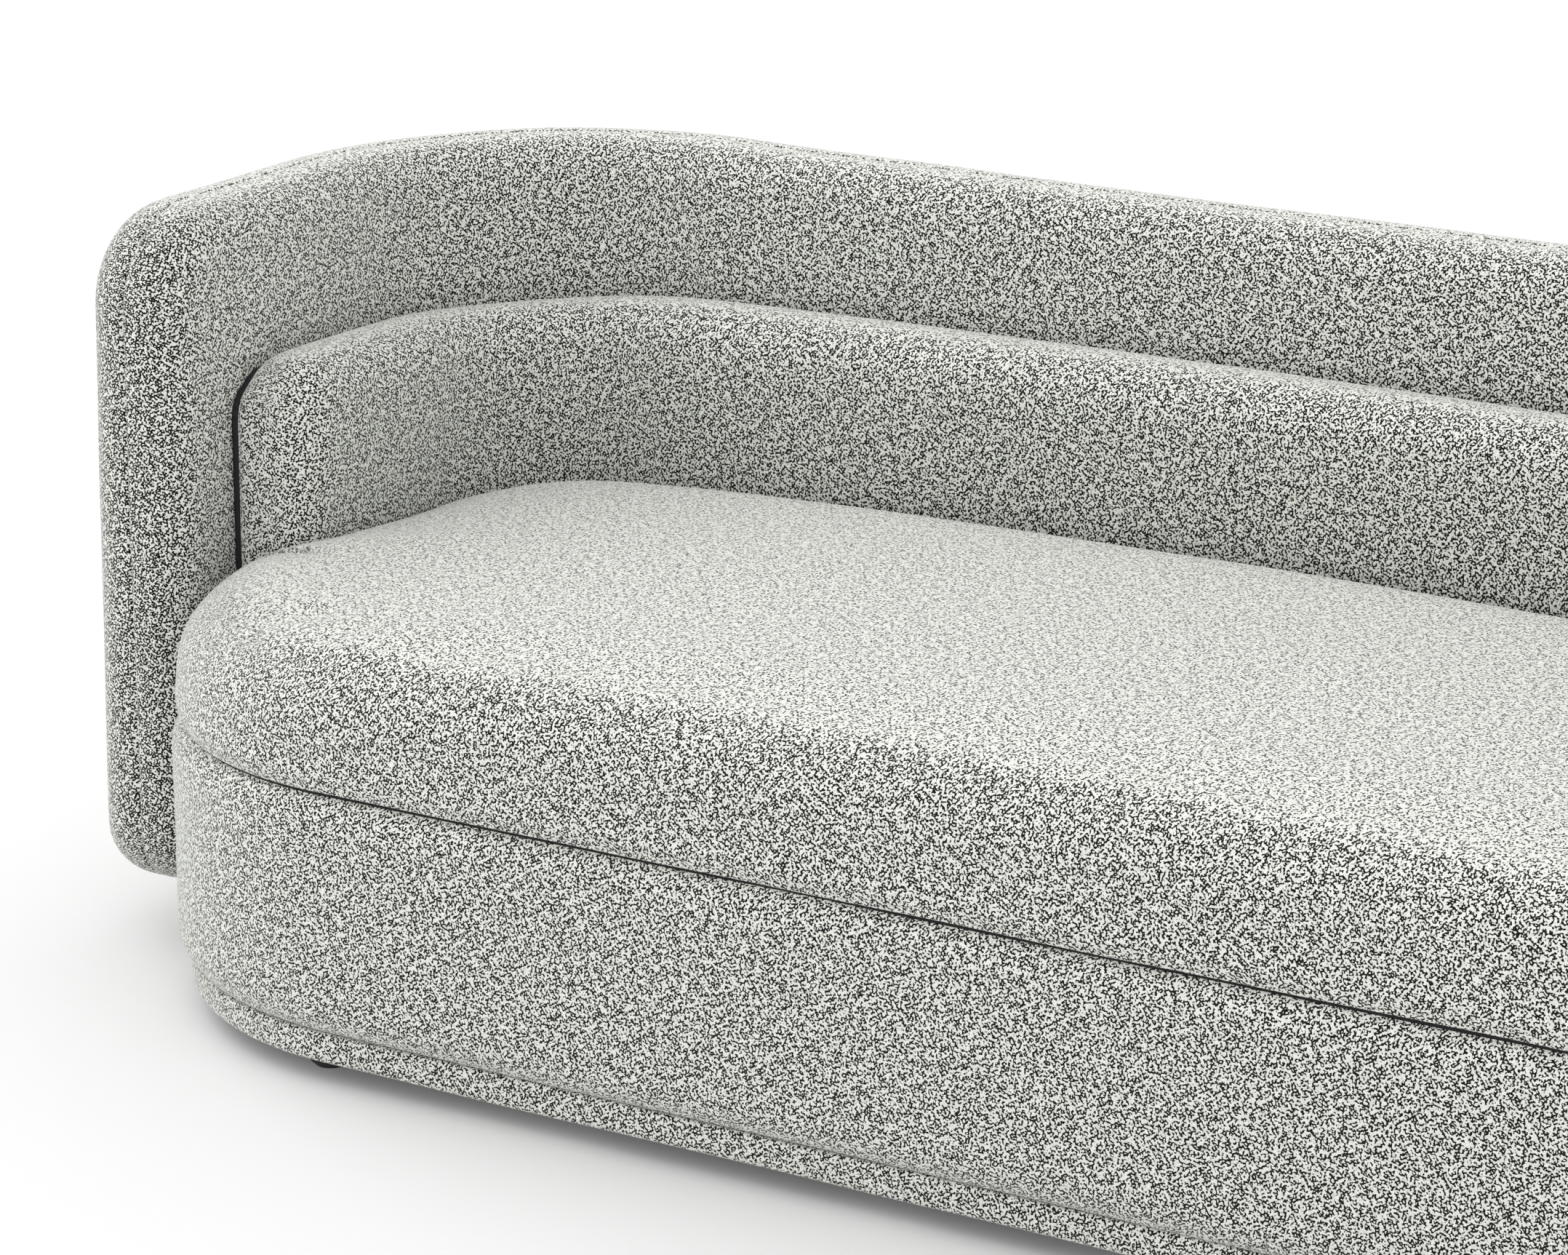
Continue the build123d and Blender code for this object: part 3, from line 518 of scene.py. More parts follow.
def make_shell():
    """Arms and back in one padded band, with the seam that runs round its rolled edge."""
    middle = SHELL_THICKNESS / 2
    low, high = shell_low.z, shell_high.z
    line = (shell_high.x - middle, shell_high.y - middle, shell_low.y, SHELL_REAR_RADIUS - middle)
    length = wrap_length(*line)
    outline = slab_outline(length, low, high, ARM_TOP_RADIUS, ARM_FOOT_RADIUS)
    top_share = smooth_step(outline[0][:, 1], high - SHELL_NOSE_BELOW, high - SHELL_TOP_BELOW)
    outer_edge = SHELL_NOSE_EDGE + (SHELL_OUTER_EDGE - SHELL_NOSE_EDGE) * top_share
    inner_edge = np.full(len(outer_edge), SHELL_INNER_EDGE)
    rows, cloth, seam_column, seam_cloth = slab_rows(
        outline, length, low, high, SHELL_THICKNESS, outer_edge, inner_edge, SEAM_DEPTH)
    lower = 1 - smooth_step(rows[..., 1], low + SHELL_FLARE_MARGIN, high - SHELL_FLARE_MARGIN)
    rows[..., 2] += SHELL_FLARE * lower * np.clip(rows[..., 2] / middle, 0.0, 1.0)
    from_end = np.minimum(rows[..., 0], length - rows[..., 0])
    rise = smooth_step(from_end, *ARM_RISE_START) * (1 - smooth_step(from_end, *ARM_RISE_END))
    rows[..., 1] += SHELL_ARM_RISE * rise * smooth_step(rows[..., 1], high - ARM_RISE_BELOW, high)
    rows = bend_slab(rows, *line)
    piece = make_mesh("shell", rows, cloth, seam_column=seam_column, seam_cloth=seam_cloth)
    ruffle(piece, amount=0.0014, size=0.16, seed=1)
    subdivide(piece)
    return piece


def pad_line():
    """The wrap line through the middle of the pad, and its length."""
    middle = PAD_THICKNESS / 2
    radius = SHELL_REAR_RADIUS - SHELL_THICKNESS - PAD_GAP - middle
    line = (pad_high.x - middle, pad_high.y - middle, pad_low.y, radius)
    return line, wrap_length(*line)


def pad_outline(length):
    """The pad's outline laid flat, and the radius of its roll against the shell, tighter at its ends."""
    high = pad_high.z - PAD_CROWN
    outline = slab_outline(length, pad_low.z, high, PAD_END_RADIUS, PAD_END_RADIUS)
    from_end = np.minimum(outline[0][:, 0], length - outline[0][:, 0])
    below_top = smooth_step(high - outline[0][:, 1], *PAD_END_BELOW)
    at_end = (1 - smooth_step(from_end, *PAD_END_REACH)) * below_top
    return outline, PAD_EDGE + (PAD_END_EDGE - PAD_EDGE) * at_end


def bend_pad(rows, line, length):
    """Bend the pad's flat places round the back; its top rises to the middle and dips at the corners."""
    half_x, back_y, end_y, radius = line
    low = pad_low.z
    high = pad_high.z - PAD_CROWN
    corner = back_y - radius - end_y + math.pi / 4 * radius
    to_corner = np.minimum(rows[..., 0], length - rows[..., 0]) - corner
    dip = PAD_CORNER_DIP * np.exp(-((to_corner / PAD_DIP_REACH) ** 2))
    rows = bend_slab(rows, half_x, back_y, end_y, radius)
    share = (rows[..., 2] - low) / (high - low)
    rows[..., 2] += share * (PAD_CROWN * (1 - (rows[..., 0] / shell_high.x) ** 2) - dip)
    return rows


def make_back_pad():
    """The pad that lines the shell: a full roll along its top, which rises towards the middle."""
    line, length = pad_line()
    outline, outer_edge = pad_outline(length)
    inner_edge = np.full(len(outer_edge), PAD_EDGE)
    high = pad_high.z - PAD_CROWN
    rows, cloth, seam_column, seam_cloth = slab_rows(
        outline, length, pad_low.z, high, PAD_THICKNESS, outer_edge, inner_edge, seam_depth=0.0)
    seat_line = seat_low.z + SEAT_CROWN_HEIGHT - SEAT_SIDE_FALL
    above = smooth_step(rows[..., 1], seat_line - PAD_UNDERCUT_BELOW, seat_line + PAD_UNDERCUT_ABOVE)
    rows[..., 2] += PAD_UNDERCUT * (1 - above) * np.clip(-2 * rows[..., 2] / PAD_THICKNESS, 0.0, 1.0)
    rows = bend_pad(rows, line, length)
    piece = make_mesh("back_pad", rows, cloth, seam_column=seam_column, seam_cloth=seam_cloth)
    points = read_points(piece.data)
    free = smooth_step(points[:, 2], high - PAD_HELD_BELOW, high - PAD_FREE_BELOW)
    swell(piece, PAD_SWELL, 1 - free)
    ruffle(piece, amount=0.0012, size=0.14, seed=2)
    subdivide(piece)
    return piece


def make_pad_shade_strip():
    """Painted shade: a black strip along the pad's rear edge, which fills the narrow end of the groove at
    the shell.
    """
    line, length = pad_line()
    (points, normals), outer_edge = pad_outline(length)
    inset = outer_edge - np.sqrt(outer_edge ** 2 - (outer_edge - PAD_SHADE_STRIP) ** 2)
    places = []
    for deeper, forward in PAD_SHADE_STRIP_CORNERS:
        places.append(lift(points - (inset + deeper)[:, None] * normals, PAD_THICKNESS / 2 - forward))
    rows = bend_pad(np.stack(places, axis=1), line, length)
    return make_mesh("pad_strip", rows, rows[..., :2].copy(), columns_closed=True)


# The base, the plinth and the cloth under them


def base_outline(inset):
    """Plan outline of the base, drawn in by an inset: wide front corners, rear ones that fit the shell."""
    half_x = base_high.x - inset
    low_y = base_low.y + inset
    high_y = base_high.y - inset
    front = BASE_FRONT_RADIUS - inset
    rear = BASE_REAR_RADIUS - inset
    return join_runs(
        straight_run((-half_x + front, low_y), (half_x - front, low_y), (0, -1)),
        arc_run((half_x - front, low_y + front), front, -90, 0),
        straight_run((half_x, low_y + front), (half_x, high_y - rear), (1, 0)),
        arc_run((half_x - rear, high_y - rear), rear, 0, 90),
        straight_run((half_x - rear, high_y), (-half_x + rear, high_y), (0, 1)),
        arc_run((-half_x + rear, high_y - rear), rear, 90, 180),
        straight_run((-half_x, high_y - rear), (-half_x, low_y + front), (-1, 0)),
        arc_run((-half_x + front, low_y + front), front, 180, 270),
    )


def base_profile():
    """Profile of the base's cover (inset, height), from the deck's border over both edges to under it."""
    low, high = base_low.z, base_high.z - BASE_BORDER_DROP
    roll_low = low - BASE_ROLL_DROP
    end_degrees = math.degrees(math.acos(1 - BASE_ROLL_END / BASE_BOTTOM_EDGE))
    wall = spread(high - BASE_TOP_EDGE, roll_low + BASE_BOTTOM_EDGE)[1:-1]
    profile = [(inset, high) for inset in spread(DECK_BORDER, BASE_TOP_EDGE, last=False)]
    profile += roll_profile(BASE_TOP_EDGE, spread(90, 0, BASE_TOP_DEGREES), high, -1)
    profile += [(0.0, height) for height in wall]
    lower_degrees = spread(0, end_degrees, BASE_BOTTOM_DEGREES)
    profile += roll_profile(BASE_BOTTOM_EDGE, lower_degrees, roll_low, 1)
    profile += [(BASE_ROLL_END + inset, low + rise) for inset, rise in BASE_TURN_UNDER]
    under = low + BASE_UNDERSIDE_LIFT
    profile += [(inset, under) for inset in spread(BASE_RETURN_START, BASE_LOWER_RETURN)]
    return np.array(profile)


def plinth_profile():
    """Profile of the plinth's band: its top edge meets the roll of the base above it."""
    top = [(inset, plinth_high.z + rise) for inset, rise in PLINTH_TOP]
    foot = [(inset, plinth_low.z + rise) for inset, rise in PLINTH_FOOT]
    wall = [(0.0, height) for height in spread(top[-1][1], foot[0][1], PLINTH_WALL_STEP)[1:-1]]
    return np.array(top + wall + foot)


def make_band(name, inset, profile, seed):
    """A cover that runs round the base's outline on a profile, with its own thickness."""
    points, normals = base_outline(inset)
    along, whole = outline_lengths(points)
    down = run_lengths(profile)
    slope = np.gradient(profile, axis=0)
    inward = np.column_stack([-slope[:, 1], slope[:, 0]]) / np.linalg.norm(slope, axis=1)[:, None]
    both = np.concatenate([profile, (profile + COVER * inward)[::-1]])
    plan = points[:, None, :] - both[None, :, 0:1] * normals[:, None, :]
    height = np.broadcast_to(both[None, :, 1:2], plan.shape[:2] + (1,))
    rows = np.concatenate([plan, height], axis=-1)
    down = np.concatenate([down, down[::-1]])
    cloth = np.stack(np.broadcast_arrays(along[:, None], down[None, :]), axis=-1)
    piece = make_mesh(name, rows, cloth.copy(), columns_closed=True, cloth_length=whole)
    ruffle(piece, amount=0.0012, size=0.15, seed=seed)
    subdivide(piece)
    return piece


def ring_shares(count):
    """Shares of the way from the edge of a panel to its middle."""
    return np.linspace(0.0, 1.0, count + 1)


def spine_of(points, spine_y):
    """For each point of an outline, the place in the middle that its row runs to."""
    return lift(np.clip(points[:, 0], -SEAT_SPINE_X, SEAT_SPINE_X), spine_y)


def make_panel(name, points, spine_y, height, sag=0.0, thickness=0.0):
    """A flat panel of cloth inside an outline, which sags in its middle.

    With a thickness, it is a closed pad with a flat underside.
    """
    inwards = spine_of(points, spine_y) - points
    places = []
    if thickness > 0:
        for share in ring_shares(PANEL_UNDERSIDE_RINGS)[::-1]:
            places.append(lift(points + share * inwards, height - thickness))
    for share in ring_shares(PANEL_TOP_RINGS):
        drop = sag * smooth_step(share, 0.0, 1.0)
        places.append(lift(points + share * inwards, height - drop))
    rows = np.stack(places, axis=1)
    return make_mesh(name, rows, rows[..., :2].copy())


# The seat cushion


def seat_outline():
    """Plan outline of the cushion and its normals: wide front corners, ears at the pad's ends, a notch."""
    half_x = seat_high.x
    low_y = seat_low.y
    front = BASE_FRONT_RADIUS
    turn_degrees = math.degrees(math.asin(min(0.0, (ear_y - low_y) / front - 1)))
    turn_points, turn_normals = arc_run((ear_turn_x, ear_turn_y), ear_radius, -90, -180)
    points, normals = join_runs(
        straight_run((0, low_y), (half_x - front, low_y), (0, -1), [(SEAT_SPINE_X, low_y)]),
        arc_run((half_x - front, low_y + front), front, -90, turn_degrees),
        straight_run((half_x, ear_y), (ear_turn_x, ear_y), (0, 1)),
        (turn_points, -turn_normals),
        straight_run((notch_x, ear_turn_y), (notch_x, notch_y - notch_radius), (1, 0)),
        arc_run((notch_x - notch_radius, notch_y - notch_radius), notch_radius, 0, 90),
        straight_run((notch_x - notch_radius, notch_y), (0, notch_y), (0, 1), [(SEAT_SPINE_X, notch_y)]),
    )
    end = np.array([[0.0, notch_y]])
    mirror = np.array([-1.0, 1.0])
    all_points = np.concatenate([points, end, points[1:][::-1] * mirror])
    all_normals = np.concatenate([normals, [[0.0, 1.0]], normals[1:][::-1] * mirror])
    return all_points, all_normals


def touches_pad(points):
    """1 where the cushion's outline runs along the pad, and 0 where its edge is open."""
    return (points[:, 1] > ear_y - EDGE_TOLERANCE).astype(float)


def open_edge_distance(x, y):
    """Distance in from the cushion's open front and sides."""
    half_x = seat_high.x
    front = BASE_FRONT_RADIUS
    centre_x = half_x - front
    centre_y = seat_low.y + front
    side = np.minimum(half_x - np.abs(x), y - seat_low.y)
    corner = front - np.hypot(np.abs(x) - centre_x, y - centre_y)
    return np.maximum(np.where((np.abs(x) > centre_x) & (y < centre_y), corner, side), 0.0)


def contact_distance(x, y):
    """Distance in from where the cushion meets the pad's ends and its inside."""
    wide = np.abs(x)
    round_end = np.hypot(ear_turn_x - wide, ear_turn_y - y) - ear_radius
    beside = np.where(y > ear_turn_y, notch_x - wide, round_end)
    behind = notch_y - y
    turn_x = notch_x - notch_radius
    turn_y = notch_y - notch_radius
    turned = notch_radius - np.hypot(wide - turn_x, y - turn_y)
    inside = np.where((wide > turn_x) & (y > turn_y), turned, np.minimum(beside, behind))
    return np.maximum(np.where(wide > ear_turn_x, ear_y - y, inside), 0.0)


def rolled(distance, reach, depth):
    """How far an edge that rolls down by a depth, over a reach, falls at a distance in from the edge."""
    left = np.clip(1 - distance / reach, 0.0, 1.0)
    return depth * (1 - np.sqrt(1 - left ** 2))


def seat_roll(x):
    """How far in the cushion's open edge rolls: further at the ears than along the front."""
    return SEAT_EDGE + (SEAT_EAR_ROLL - SEAT_EDGE) * smooth_step(np.abs(x), *SEAT_EAR_SPAN)


def seat_height(x, y):
    """Height of the cushion's top: crowned, rolled down at its open edges, pressed down beside the pad."""
    middle_y = (seat_low.y + base_high.y) / 2
    half_depth = (base_high.y - seat_low.y) / 2
    side_fall = SEAT_SIDE_FALL * (x / base_high.x) ** 2
    crown = side_fall + SEAT_DEPTH_FALL * ((y - middle_y) / half_depth) ** 2
    contact = contact_distance(x, y)
    fall = SEAT_BACK_FALL + (SEAT_NOTCH_FALL - SEAT_BACK_FALL) * smooth_step(np.abs(x), *SEAT_NOTCH_SPAN)
    past_ear = smooth_step(y, ear_y - SEAT_PRESS_LEAD, SEAT_PRESS_FULL_Y)
    fall *= SEAT_EAR_PRESS + (1 - SEAT_EAR_PRESS) * past_ear
    pressed = fall * (1 - smooth_step(contact, 0.0, SEAT_CONTACT_REACH))
    edge = rolled(open_edge_distance(x, y), seat_roll(x), SEAT_EDGE)
    tucked = rolled(contact, SEAT_CONTACT_EDGE, SEAT_CONTACT_EDGE)
    return seat_low.z + SEAT_CROWN_HEIGHT - crown - edge - pressed - tucked


def make_seat():
    """The bench cushion: a crowned top that rolls down at the front and runs up to the pad behind."""
    points, normals = seat_outline()
    spine = spine_of(points, SEAT_SPINE_Y)
    reach = np.linalg.norm(spine - points, axis=1)
    inwards = (spine - points) / reach[:, None]
    square_on = np.clip(-np.sum(inwards * normals, axis=1), SEAT_SLANT_LIMIT, 1.0)
    in_contact = touches_pad(points)
    top_edge = np.where(in_contact > 0, SEAT_CONTACT_EDGE, seat_roll(points[:, 0]))
    wall_top = seat_height(points[:, 0], points[:, 1])
    tuck = SEAT_LOWER_TUCK * (1 - in_contact)
    lip_low = seat_low.z - SEAT_LIP_HANG * (1 - in_contact)
    lip_top = lip_low + SEAT_LIP_EDGE
    places = []

    def add(inset, height=None):
        plan = points + inset[:, None] * inwards
        level = seat_height(plan[:, 0], plan[:, 1]) if height is None else height
        places.append(lift(plan, level))

    under_lining = LINING_INSET + LINING_LAP_IN
    for share in ring_shares(SEAT_UNDERSIDE_RINGS)[:0:-1]:
        add(under_lining + share * (reach - under_lining), seat_low.z + LINING_RECESS)
    add(np.full(len(points), LINING_INSET - LINING_LAP_OUT), seat_low.z)
    for inset, share in SEAT_LIP_TURN:
        add(inset / square_on, seat_low.z + share * (lip_low - seat_low.z))
    for inset, rise in roll_profile(SEAT_LIP_EDGE, SEAT_LIP_DEGREES, 0.0, 1):
        add((tuck + inset) / square_on, lip_low + rise)
    for share in SEAT_WALL_SHARES:
        level = lip_top + share * (wall_top - lip_top)
        drawn_in = np.clip(1 - (level - lip_top) / SEAT_TUCK_HEIGHT, 0.0, 1.0) ** 2
        add(tuck * drawn_in / square_on, level)
    seam_column = len(places) + SEAT_ROLL_DEGREES.index(SEAT_SEAM_DEGREES)
    for roll in np.radians(SEAT_ROLL_DEGREES):
        add(top_edge * (1 - math.cos(roll)) / square_on)
    first = top_edge / square_on
    for share in ring_shares(SEAT_TOP_RINGS):
        add(first + share * (reach - first))
    rows = np.stack(places, axis=1)
    along, whole = outline_lengths(points)
    down = np.linalg.norm(np.diff(rows, axis=1), axis=-1)[:, :seam_column]
    down = np.concatenate([np.cumsum(down[:, ::-1], axis=1)[:, ::-1], np.zeros((len(rows), 1))], axis=1)
    side_cloth = np.stack([np.broadcast_to(along[:, None], down.shape), SEAT_SIDE_CUT - down], axis=-1)
    top_cloth = rows[:, seam_column:, :2] + SEAT_TOP_CUT
    cloth = np.concatenate([side_cloth, top_cloth[:, 1:]], axis=1)
    around = np.where(np.arange(len(places) - 1) < seam_column, whole, 0.0)
    piece = make_mesh("seat", rows, cloth, cloth_length=around,
                      seam_column=seam_column, seam_cloth=top_cloth[:, 0])
    settled = read_points(piece.data)
    raised = smooth_step(settled[:, 2] - seat_low.z, *SEAT_FREE_HEIGHT)
    clear = smooth_step(contact_distance(settled[:, 0], settled[:, 1]), *SEAT_FREE_REACH)
    swell(piece, SEAT_SWELL, 1 - raised * clear)
    ruffle(piece, amount=0.0014, size=0.17, seed=4)
    subdivide(piece)
    return piece


def make_seat_shade_strip():
    """Painted shade: a black strip behind the cushion's lip, which shows as a dark line under it."""
    points, normals = seat_outline()
    below = (SEAT_LIP_HANG + SEAT_SHADE_STRIP + SEAT_SHADE_STRIP_LIFT) * (1 - touches_pad(points))
    low = seat_low.z + SEAT_SHADE_STRIP_LIFT - below
    behind_lip = SEAT_LOWER_TUCK + SEAT_LIP_EDGE
    places = []
    for inset, rise in SEAT_SHADE_STRIP_CORNERS:
        places.append(lift(points - (behind_lip + inset) * normals, low + rise))
    rows = np.stack(places, axis=1)
    return make_mesh("seat_strip", rows, rows[..., :2].copy(), columns_closed=True)


def make_lining():
    """The plain black panel under the cushion."""
    points, _ = seat_outline()
    spine = spine_of(points, SEAT_SPINE_Y)
    reach = np.linalg.norm(spine - points, axis=1)[:, None]
    edge = points + LINING_INSET * (spine - points) / reach
    return make_panel("seat_lining", edge, SEAT_SPINE_Y, seat_low.z + LINING_LIFT)


# Materials


def new_material(name):
    """A node material with its shader, a helper that adds nodes and one that links to the shader."""
    material = bpy.data.materials.new(name)
    material.use_nodes = True
    nodes = material.node_tree.nodes
    links = material.node_tree.links
    shader = nodes["Principled BSDF"]

    def add(kind, inputs=None, **settings):
        node = nodes.new(kind)
        for key, value in settings.items():
            setattr(node, key, value)
        for key, value in (inputs or {}).items():
            if isinstance(value, bpy.types.NodeSocket):
                links.new(value, node.inputs[key])
            else:
                node.inputs[key].default_value = value
        return node

    def link(output, socket):
        links.new(output, shader.inputs[socket])

    return material, shader, add, link


def set_inputs(node, **values):
    """Set a node's inputs, named in lower case with underscores for spaces."""
    named = {socket.name.lower().replace(" ", "_"): socket for socket in node.inputs}
    for name, value in values.items():
        named[name].default_value = value


def calculate(add, operation, *values):
    """The outcome of a sum on values or sockets."""
    return add("ShaderNodeMath", dict(enumerate(values)), operation=operation).outputs[0]


def map_range(add, value, low, high, to_low, to_high):
    """A value carried smoothly from one range to another, held at the ends."""
    inputs = {0: value, 1: low, 2: high, 3: to_low, 4: to_high}
    return add("ShaderNodeMapRange", inputs, interpolation_type="SMOOTHSTEP").outputs[0]


def mix_colour(add, factor, first, second):
    """Two colours mixed by a factor."""
    node = add("ShaderNodeMix", data_type="RGBA")
    sockets = {"Factor_Float": factor, "A_Color": first, "B_Color": second}
    tree = node.id_data
    for socket in node.inputs:
        if socket.identifier in sockets:
            value = sockets[socket.identifier]
            if isinstance(value, bpy.types.NodeSocket):
                tree.links.new(value, socket)
            else:
                socket.default_value = value
    return next(socket for socket in node.outputs if socket.identifier == "Result_Color")


def add_relief(add, link, height, strength, distance):
    """Relief from a height."""
    relief = add("ShaderNodeBump", {"Strength": strength, "Distance": distance, "Height": height})
    link(relief.outputs[0], "Normal")


def boucle_material():
    """Nubby looped yarn: pale nubs packed over a dark ground that shows as specks between them.

    Painted light: fewer specks are painted where the cloth faces up, so it shows lighter, in place of
    light from above and of nubs that hide the ground at a slant. Painted shade: more are painted on the
    arms' front ends.
    """
    material, shader, add, link = new_material("boucle_fabric")
    on_cloth = add("ShaderNodeUVMap", uv_map="cloth").outputs[0]
    turned = {"Vector": on_cloth, "Rotation": (0, 0, math.radians(CLOTH_TURN))}
    place = add("ShaderNodeMapping", turned).outputs[0]

    def cloth_noise(scale, detail, **more):
        inputs = {"Vector": place, "Scale": scale, "Detail": detail, **more}
        return add("ShaderNodeTexNoise", inputs, noise_dimensions="2D")

    def shifted(operation, inputs):
        return add("ShaderNodeVectorMath", inputs, operation=operation).outputs[0]

    drift = cloth_noise(DRIFT_SCALE, 1.0).outputs["Color"]
    centred = shifted("SUBTRACT", {0: drift, 1: (0.5, 0.5, 0.5)})
    shift = shifted("SCALE", {0: centred, "Scale": NUB_PITCH * DRIFT_SHARE})
    nubs = {"Vector": shifted("ADD", {0: place, 1: shift}), "Scale": 1 / NUB_PITCH, "Randomness": 0.85}
    edges = add("ShaderNodeTexVoronoi", nubs, feature="DISTANCE_TO_EDGE", voronoi_dimensions="2D")
    border = edges.outputs["Distance"]
    cells = add("ShaderNodeTexVoronoi", nubs, feature="F1", voronoi_dimensions="2D")
    nub_chance = add("ShaderNodeSeparateColor", {0: cells.outputs["Color"]}).outputs[1]
    slub = cloth_noise(1 / SLUB_SIZE, 1.0, Roughness=0.6).outputs[0]
    speck = cloth_noise(1 / SPECK_SIZE, 0.0).outputs[0]
    chance = calculate(add, "MULTIPLY_ADD", slub, SLUB_SHARE, speck)
    own = add("ShaderNodeTexCoord").outputs
    upward = add("ShaderNodeSeparateXYZ", {0: own["Normal"]}).outputs[2]
    # Painted light: fewer dark specks where the cloth faces up
    painted_top_light = map_range(add, upward, *TOP_LIGHT_UPWARD, 0.0, TOP_PAINTED_LIGHT)
    spot = add("ShaderNodeSeparateXYZ", {0: own["Object"]}).outputs
    # Painted shade: more dark specks on the arms' front ends
    on_arm = map_range(add, calculate(add, "ABSOLUTE", spot[0]), *ARM_FRONT_X, 0.0, 1.0)
    arm_front_shade = map_range(add, spot[1], *ARM_FRONT_Y, 0.0, ARM_FRONT_PAINTED_SHADE)
    chance_with_arm_shade = calculate(add, "MULTIPLY_ADD", on_arm, arm_front_shade, chance)
    left = calculate(add, "SUBTRACT", chance_with_arm_shade, painted_top_light)
    ground = map_range(add, left, *SPECK_LEVEL, 0.0, 1.0)
    gap = calculate(add, "MULTIPLY", map_range(add, border, *SPECK_BORDER, 1.0, 0.0), ground)
    link(mix_colour(add, gap, mix_colour(add, nub_chance, NUB_DARK, NUB_LIGHT), GROUND_TONE), "Base Color")
    dome = map_range(add, border, 0.0, 0.45, 0.0, 1.0)
    add_relief(add, link, calculate(add, "MULTIPLY_ADD", gap, -0.6, dome), strength=0.5, distance=0.0010)
    set_inputs(shader, roughness=0.95, specular_ior_level=0.1)
    set_inputs(shader, sheen_weight=1.0, sheen_roughness=0.35, sheen_tint=SHEEN_TINT)
    return material


def grain_material(name, light, dark, stretch, roughness):
    """Wood with its grain drawn out along one direction."""
    material, _, add, link = new_material(name)
    place = add("ShaderNodeTexCoord").outputs["Object"]
    drawn = add("ShaderNodeMapping", {"Vector": place, "Scale": stretch}).outputs[0]
    fibres = {"Vector": drawn, "Scale": 9.0, "Detail": 6.0, "Roughness": 0.62}
    grain = add("ShaderNodeTexNoise", fibres).outputs[0]
    link(mix_colour(add, map_range(add, grain, 0.35, 0.68, 0.0, 1.0), light, dark), "Base Color")
    link(map_range(add, grain, 0.3, 0.7, roughness, roughness + 0.15), "Roughness")
    add_relief(add, link, grain, strength=0.25, distance=0.0004)
    return material


def weave_material(name, light, dark, pitch, roughness):
    """A plain weave of crossing threads."""
    material, _, add, link = new_material(name)
    place = add("ShaderNodeTexCoord").outputs["Object"]
    # A wave repeats every pi / 10 at a scale of 1
    waves = {"Vector": place, "Scale": math.pi / (10 * pitch)}
    along = add("ShaderNodeTexWave", waves, bands_direction="X").outputs["Fac"]
    across = add("ShaderNodeTexWave", waves, bands_direction="Y").outputs["Fac"]
    thread = calculate(add, "MULTIPLY", along, across)
    wear = add("ShaderNodeTexNoise", {"Vector": place, "Scale": 35.0, "Detail": 3.0}).outputs[0]
    mixed = calculate(add, "MULTIPLY", thread, wear)
    link(mix_colour(add, map_range(add, mixed, 0.0, 0.5, 0.0, 1.0), dark, light), "Base Color")
    link(map_range(add, wear, 0.3, 0.7, roughness, roughness + 0.1), "Roughness")
    add_relief(add, link, thread, strength=0.4, distance=0.0004)
    return material


def mottled_material(name, light, dark, size, roughness, metallic=0.0):
    """Moulded plastic, foam or plated steel: a fine mottle in tone, gloss and relief."""
    material, shader, add, link = new_material(name)
    place = add("ShaderNodeTexCoord").outputs["Object"]
    mottle = add("ShaderNodeTexNoise", {"Vector": place, "Scale": 1 / size, "Detail": 4.0}).outputs[0]
    link(mix_colour(add, map_range(add, mottle, 0.3, 0.7, 0.0, 1.0), dark, light), "Base Color")
    link(map_range(add, mottle, 0.3, 0.7, roughness, roughness + 0.15), "Roughness")
    add_relief(add, link, mottle, strength=0.15, distance=0.0002)
    set_inputs(shader, metallic=metallic)
    return material


def make_materials():
    """The finish of each material slot in the record."""
    return {
        "boucle_fabric": boucle_material(),
        "plywood": grain_material("plywood", light=(0.62, 0.45, 0.27, 1), dark=(0.44, 0.29, 0.16, 1),
                                  stretch=(0.6, 6.0, 14.0), roughness=0.55),
        "timber": grain_material("timber", light=(0.58, 0.40, 0.22, 1), dark=(0.36, 0.22, 0.11, 1),
                                 stretch=(0.5, 8.0, 8.0), roughness=0.5),
        "zinc_steel": mottled_material("zinc_steel", light=(0.66, 0.67, 0.69, 1),
                                       dark=(0.52, 0.53, 0.55, 1), size=0.004,
                                       roughness=0.28, metallic=1.0),
        "black_plastic": mottled_material("black_plastic", light=(0.020, 0.020, 0.021, 1),
                                          dark=(0.012, 0.012, 0.013, 1), size=0.0012, roughness=0.42),
        "black_lining": weave_material("black_lining", light=(0.030, 0.030, 0.032, 1),
                                       dark=(0.008, 0.008, 0.009, 1), pitch=LINING_PITCH, roughness=0.8),
        "webbing": weave_material("webbing", light=(0.46, 0.38, 0.26, 1), dark=(0.20, 0.16, 0.10, 1),
                                  pitch=WEBBING_PITCH, roughness=0.75),
        "foam": mottled_material("foam", light=(0.72, 0.66, 0.50, 1), dark=(0.60, 0.54, 0.40, 1),
                                 size=0.0015, roughness=0.85),
        "fibre_wadding": mottled_material("fibre_wadding", light=(0.80, 0.80, 0.78, 1),
                                          dark=(0.66, 0.66, 0.64, 1), size=0.006, roughness=0.85),
    }


# Stage: pale floor, soft light and the camera


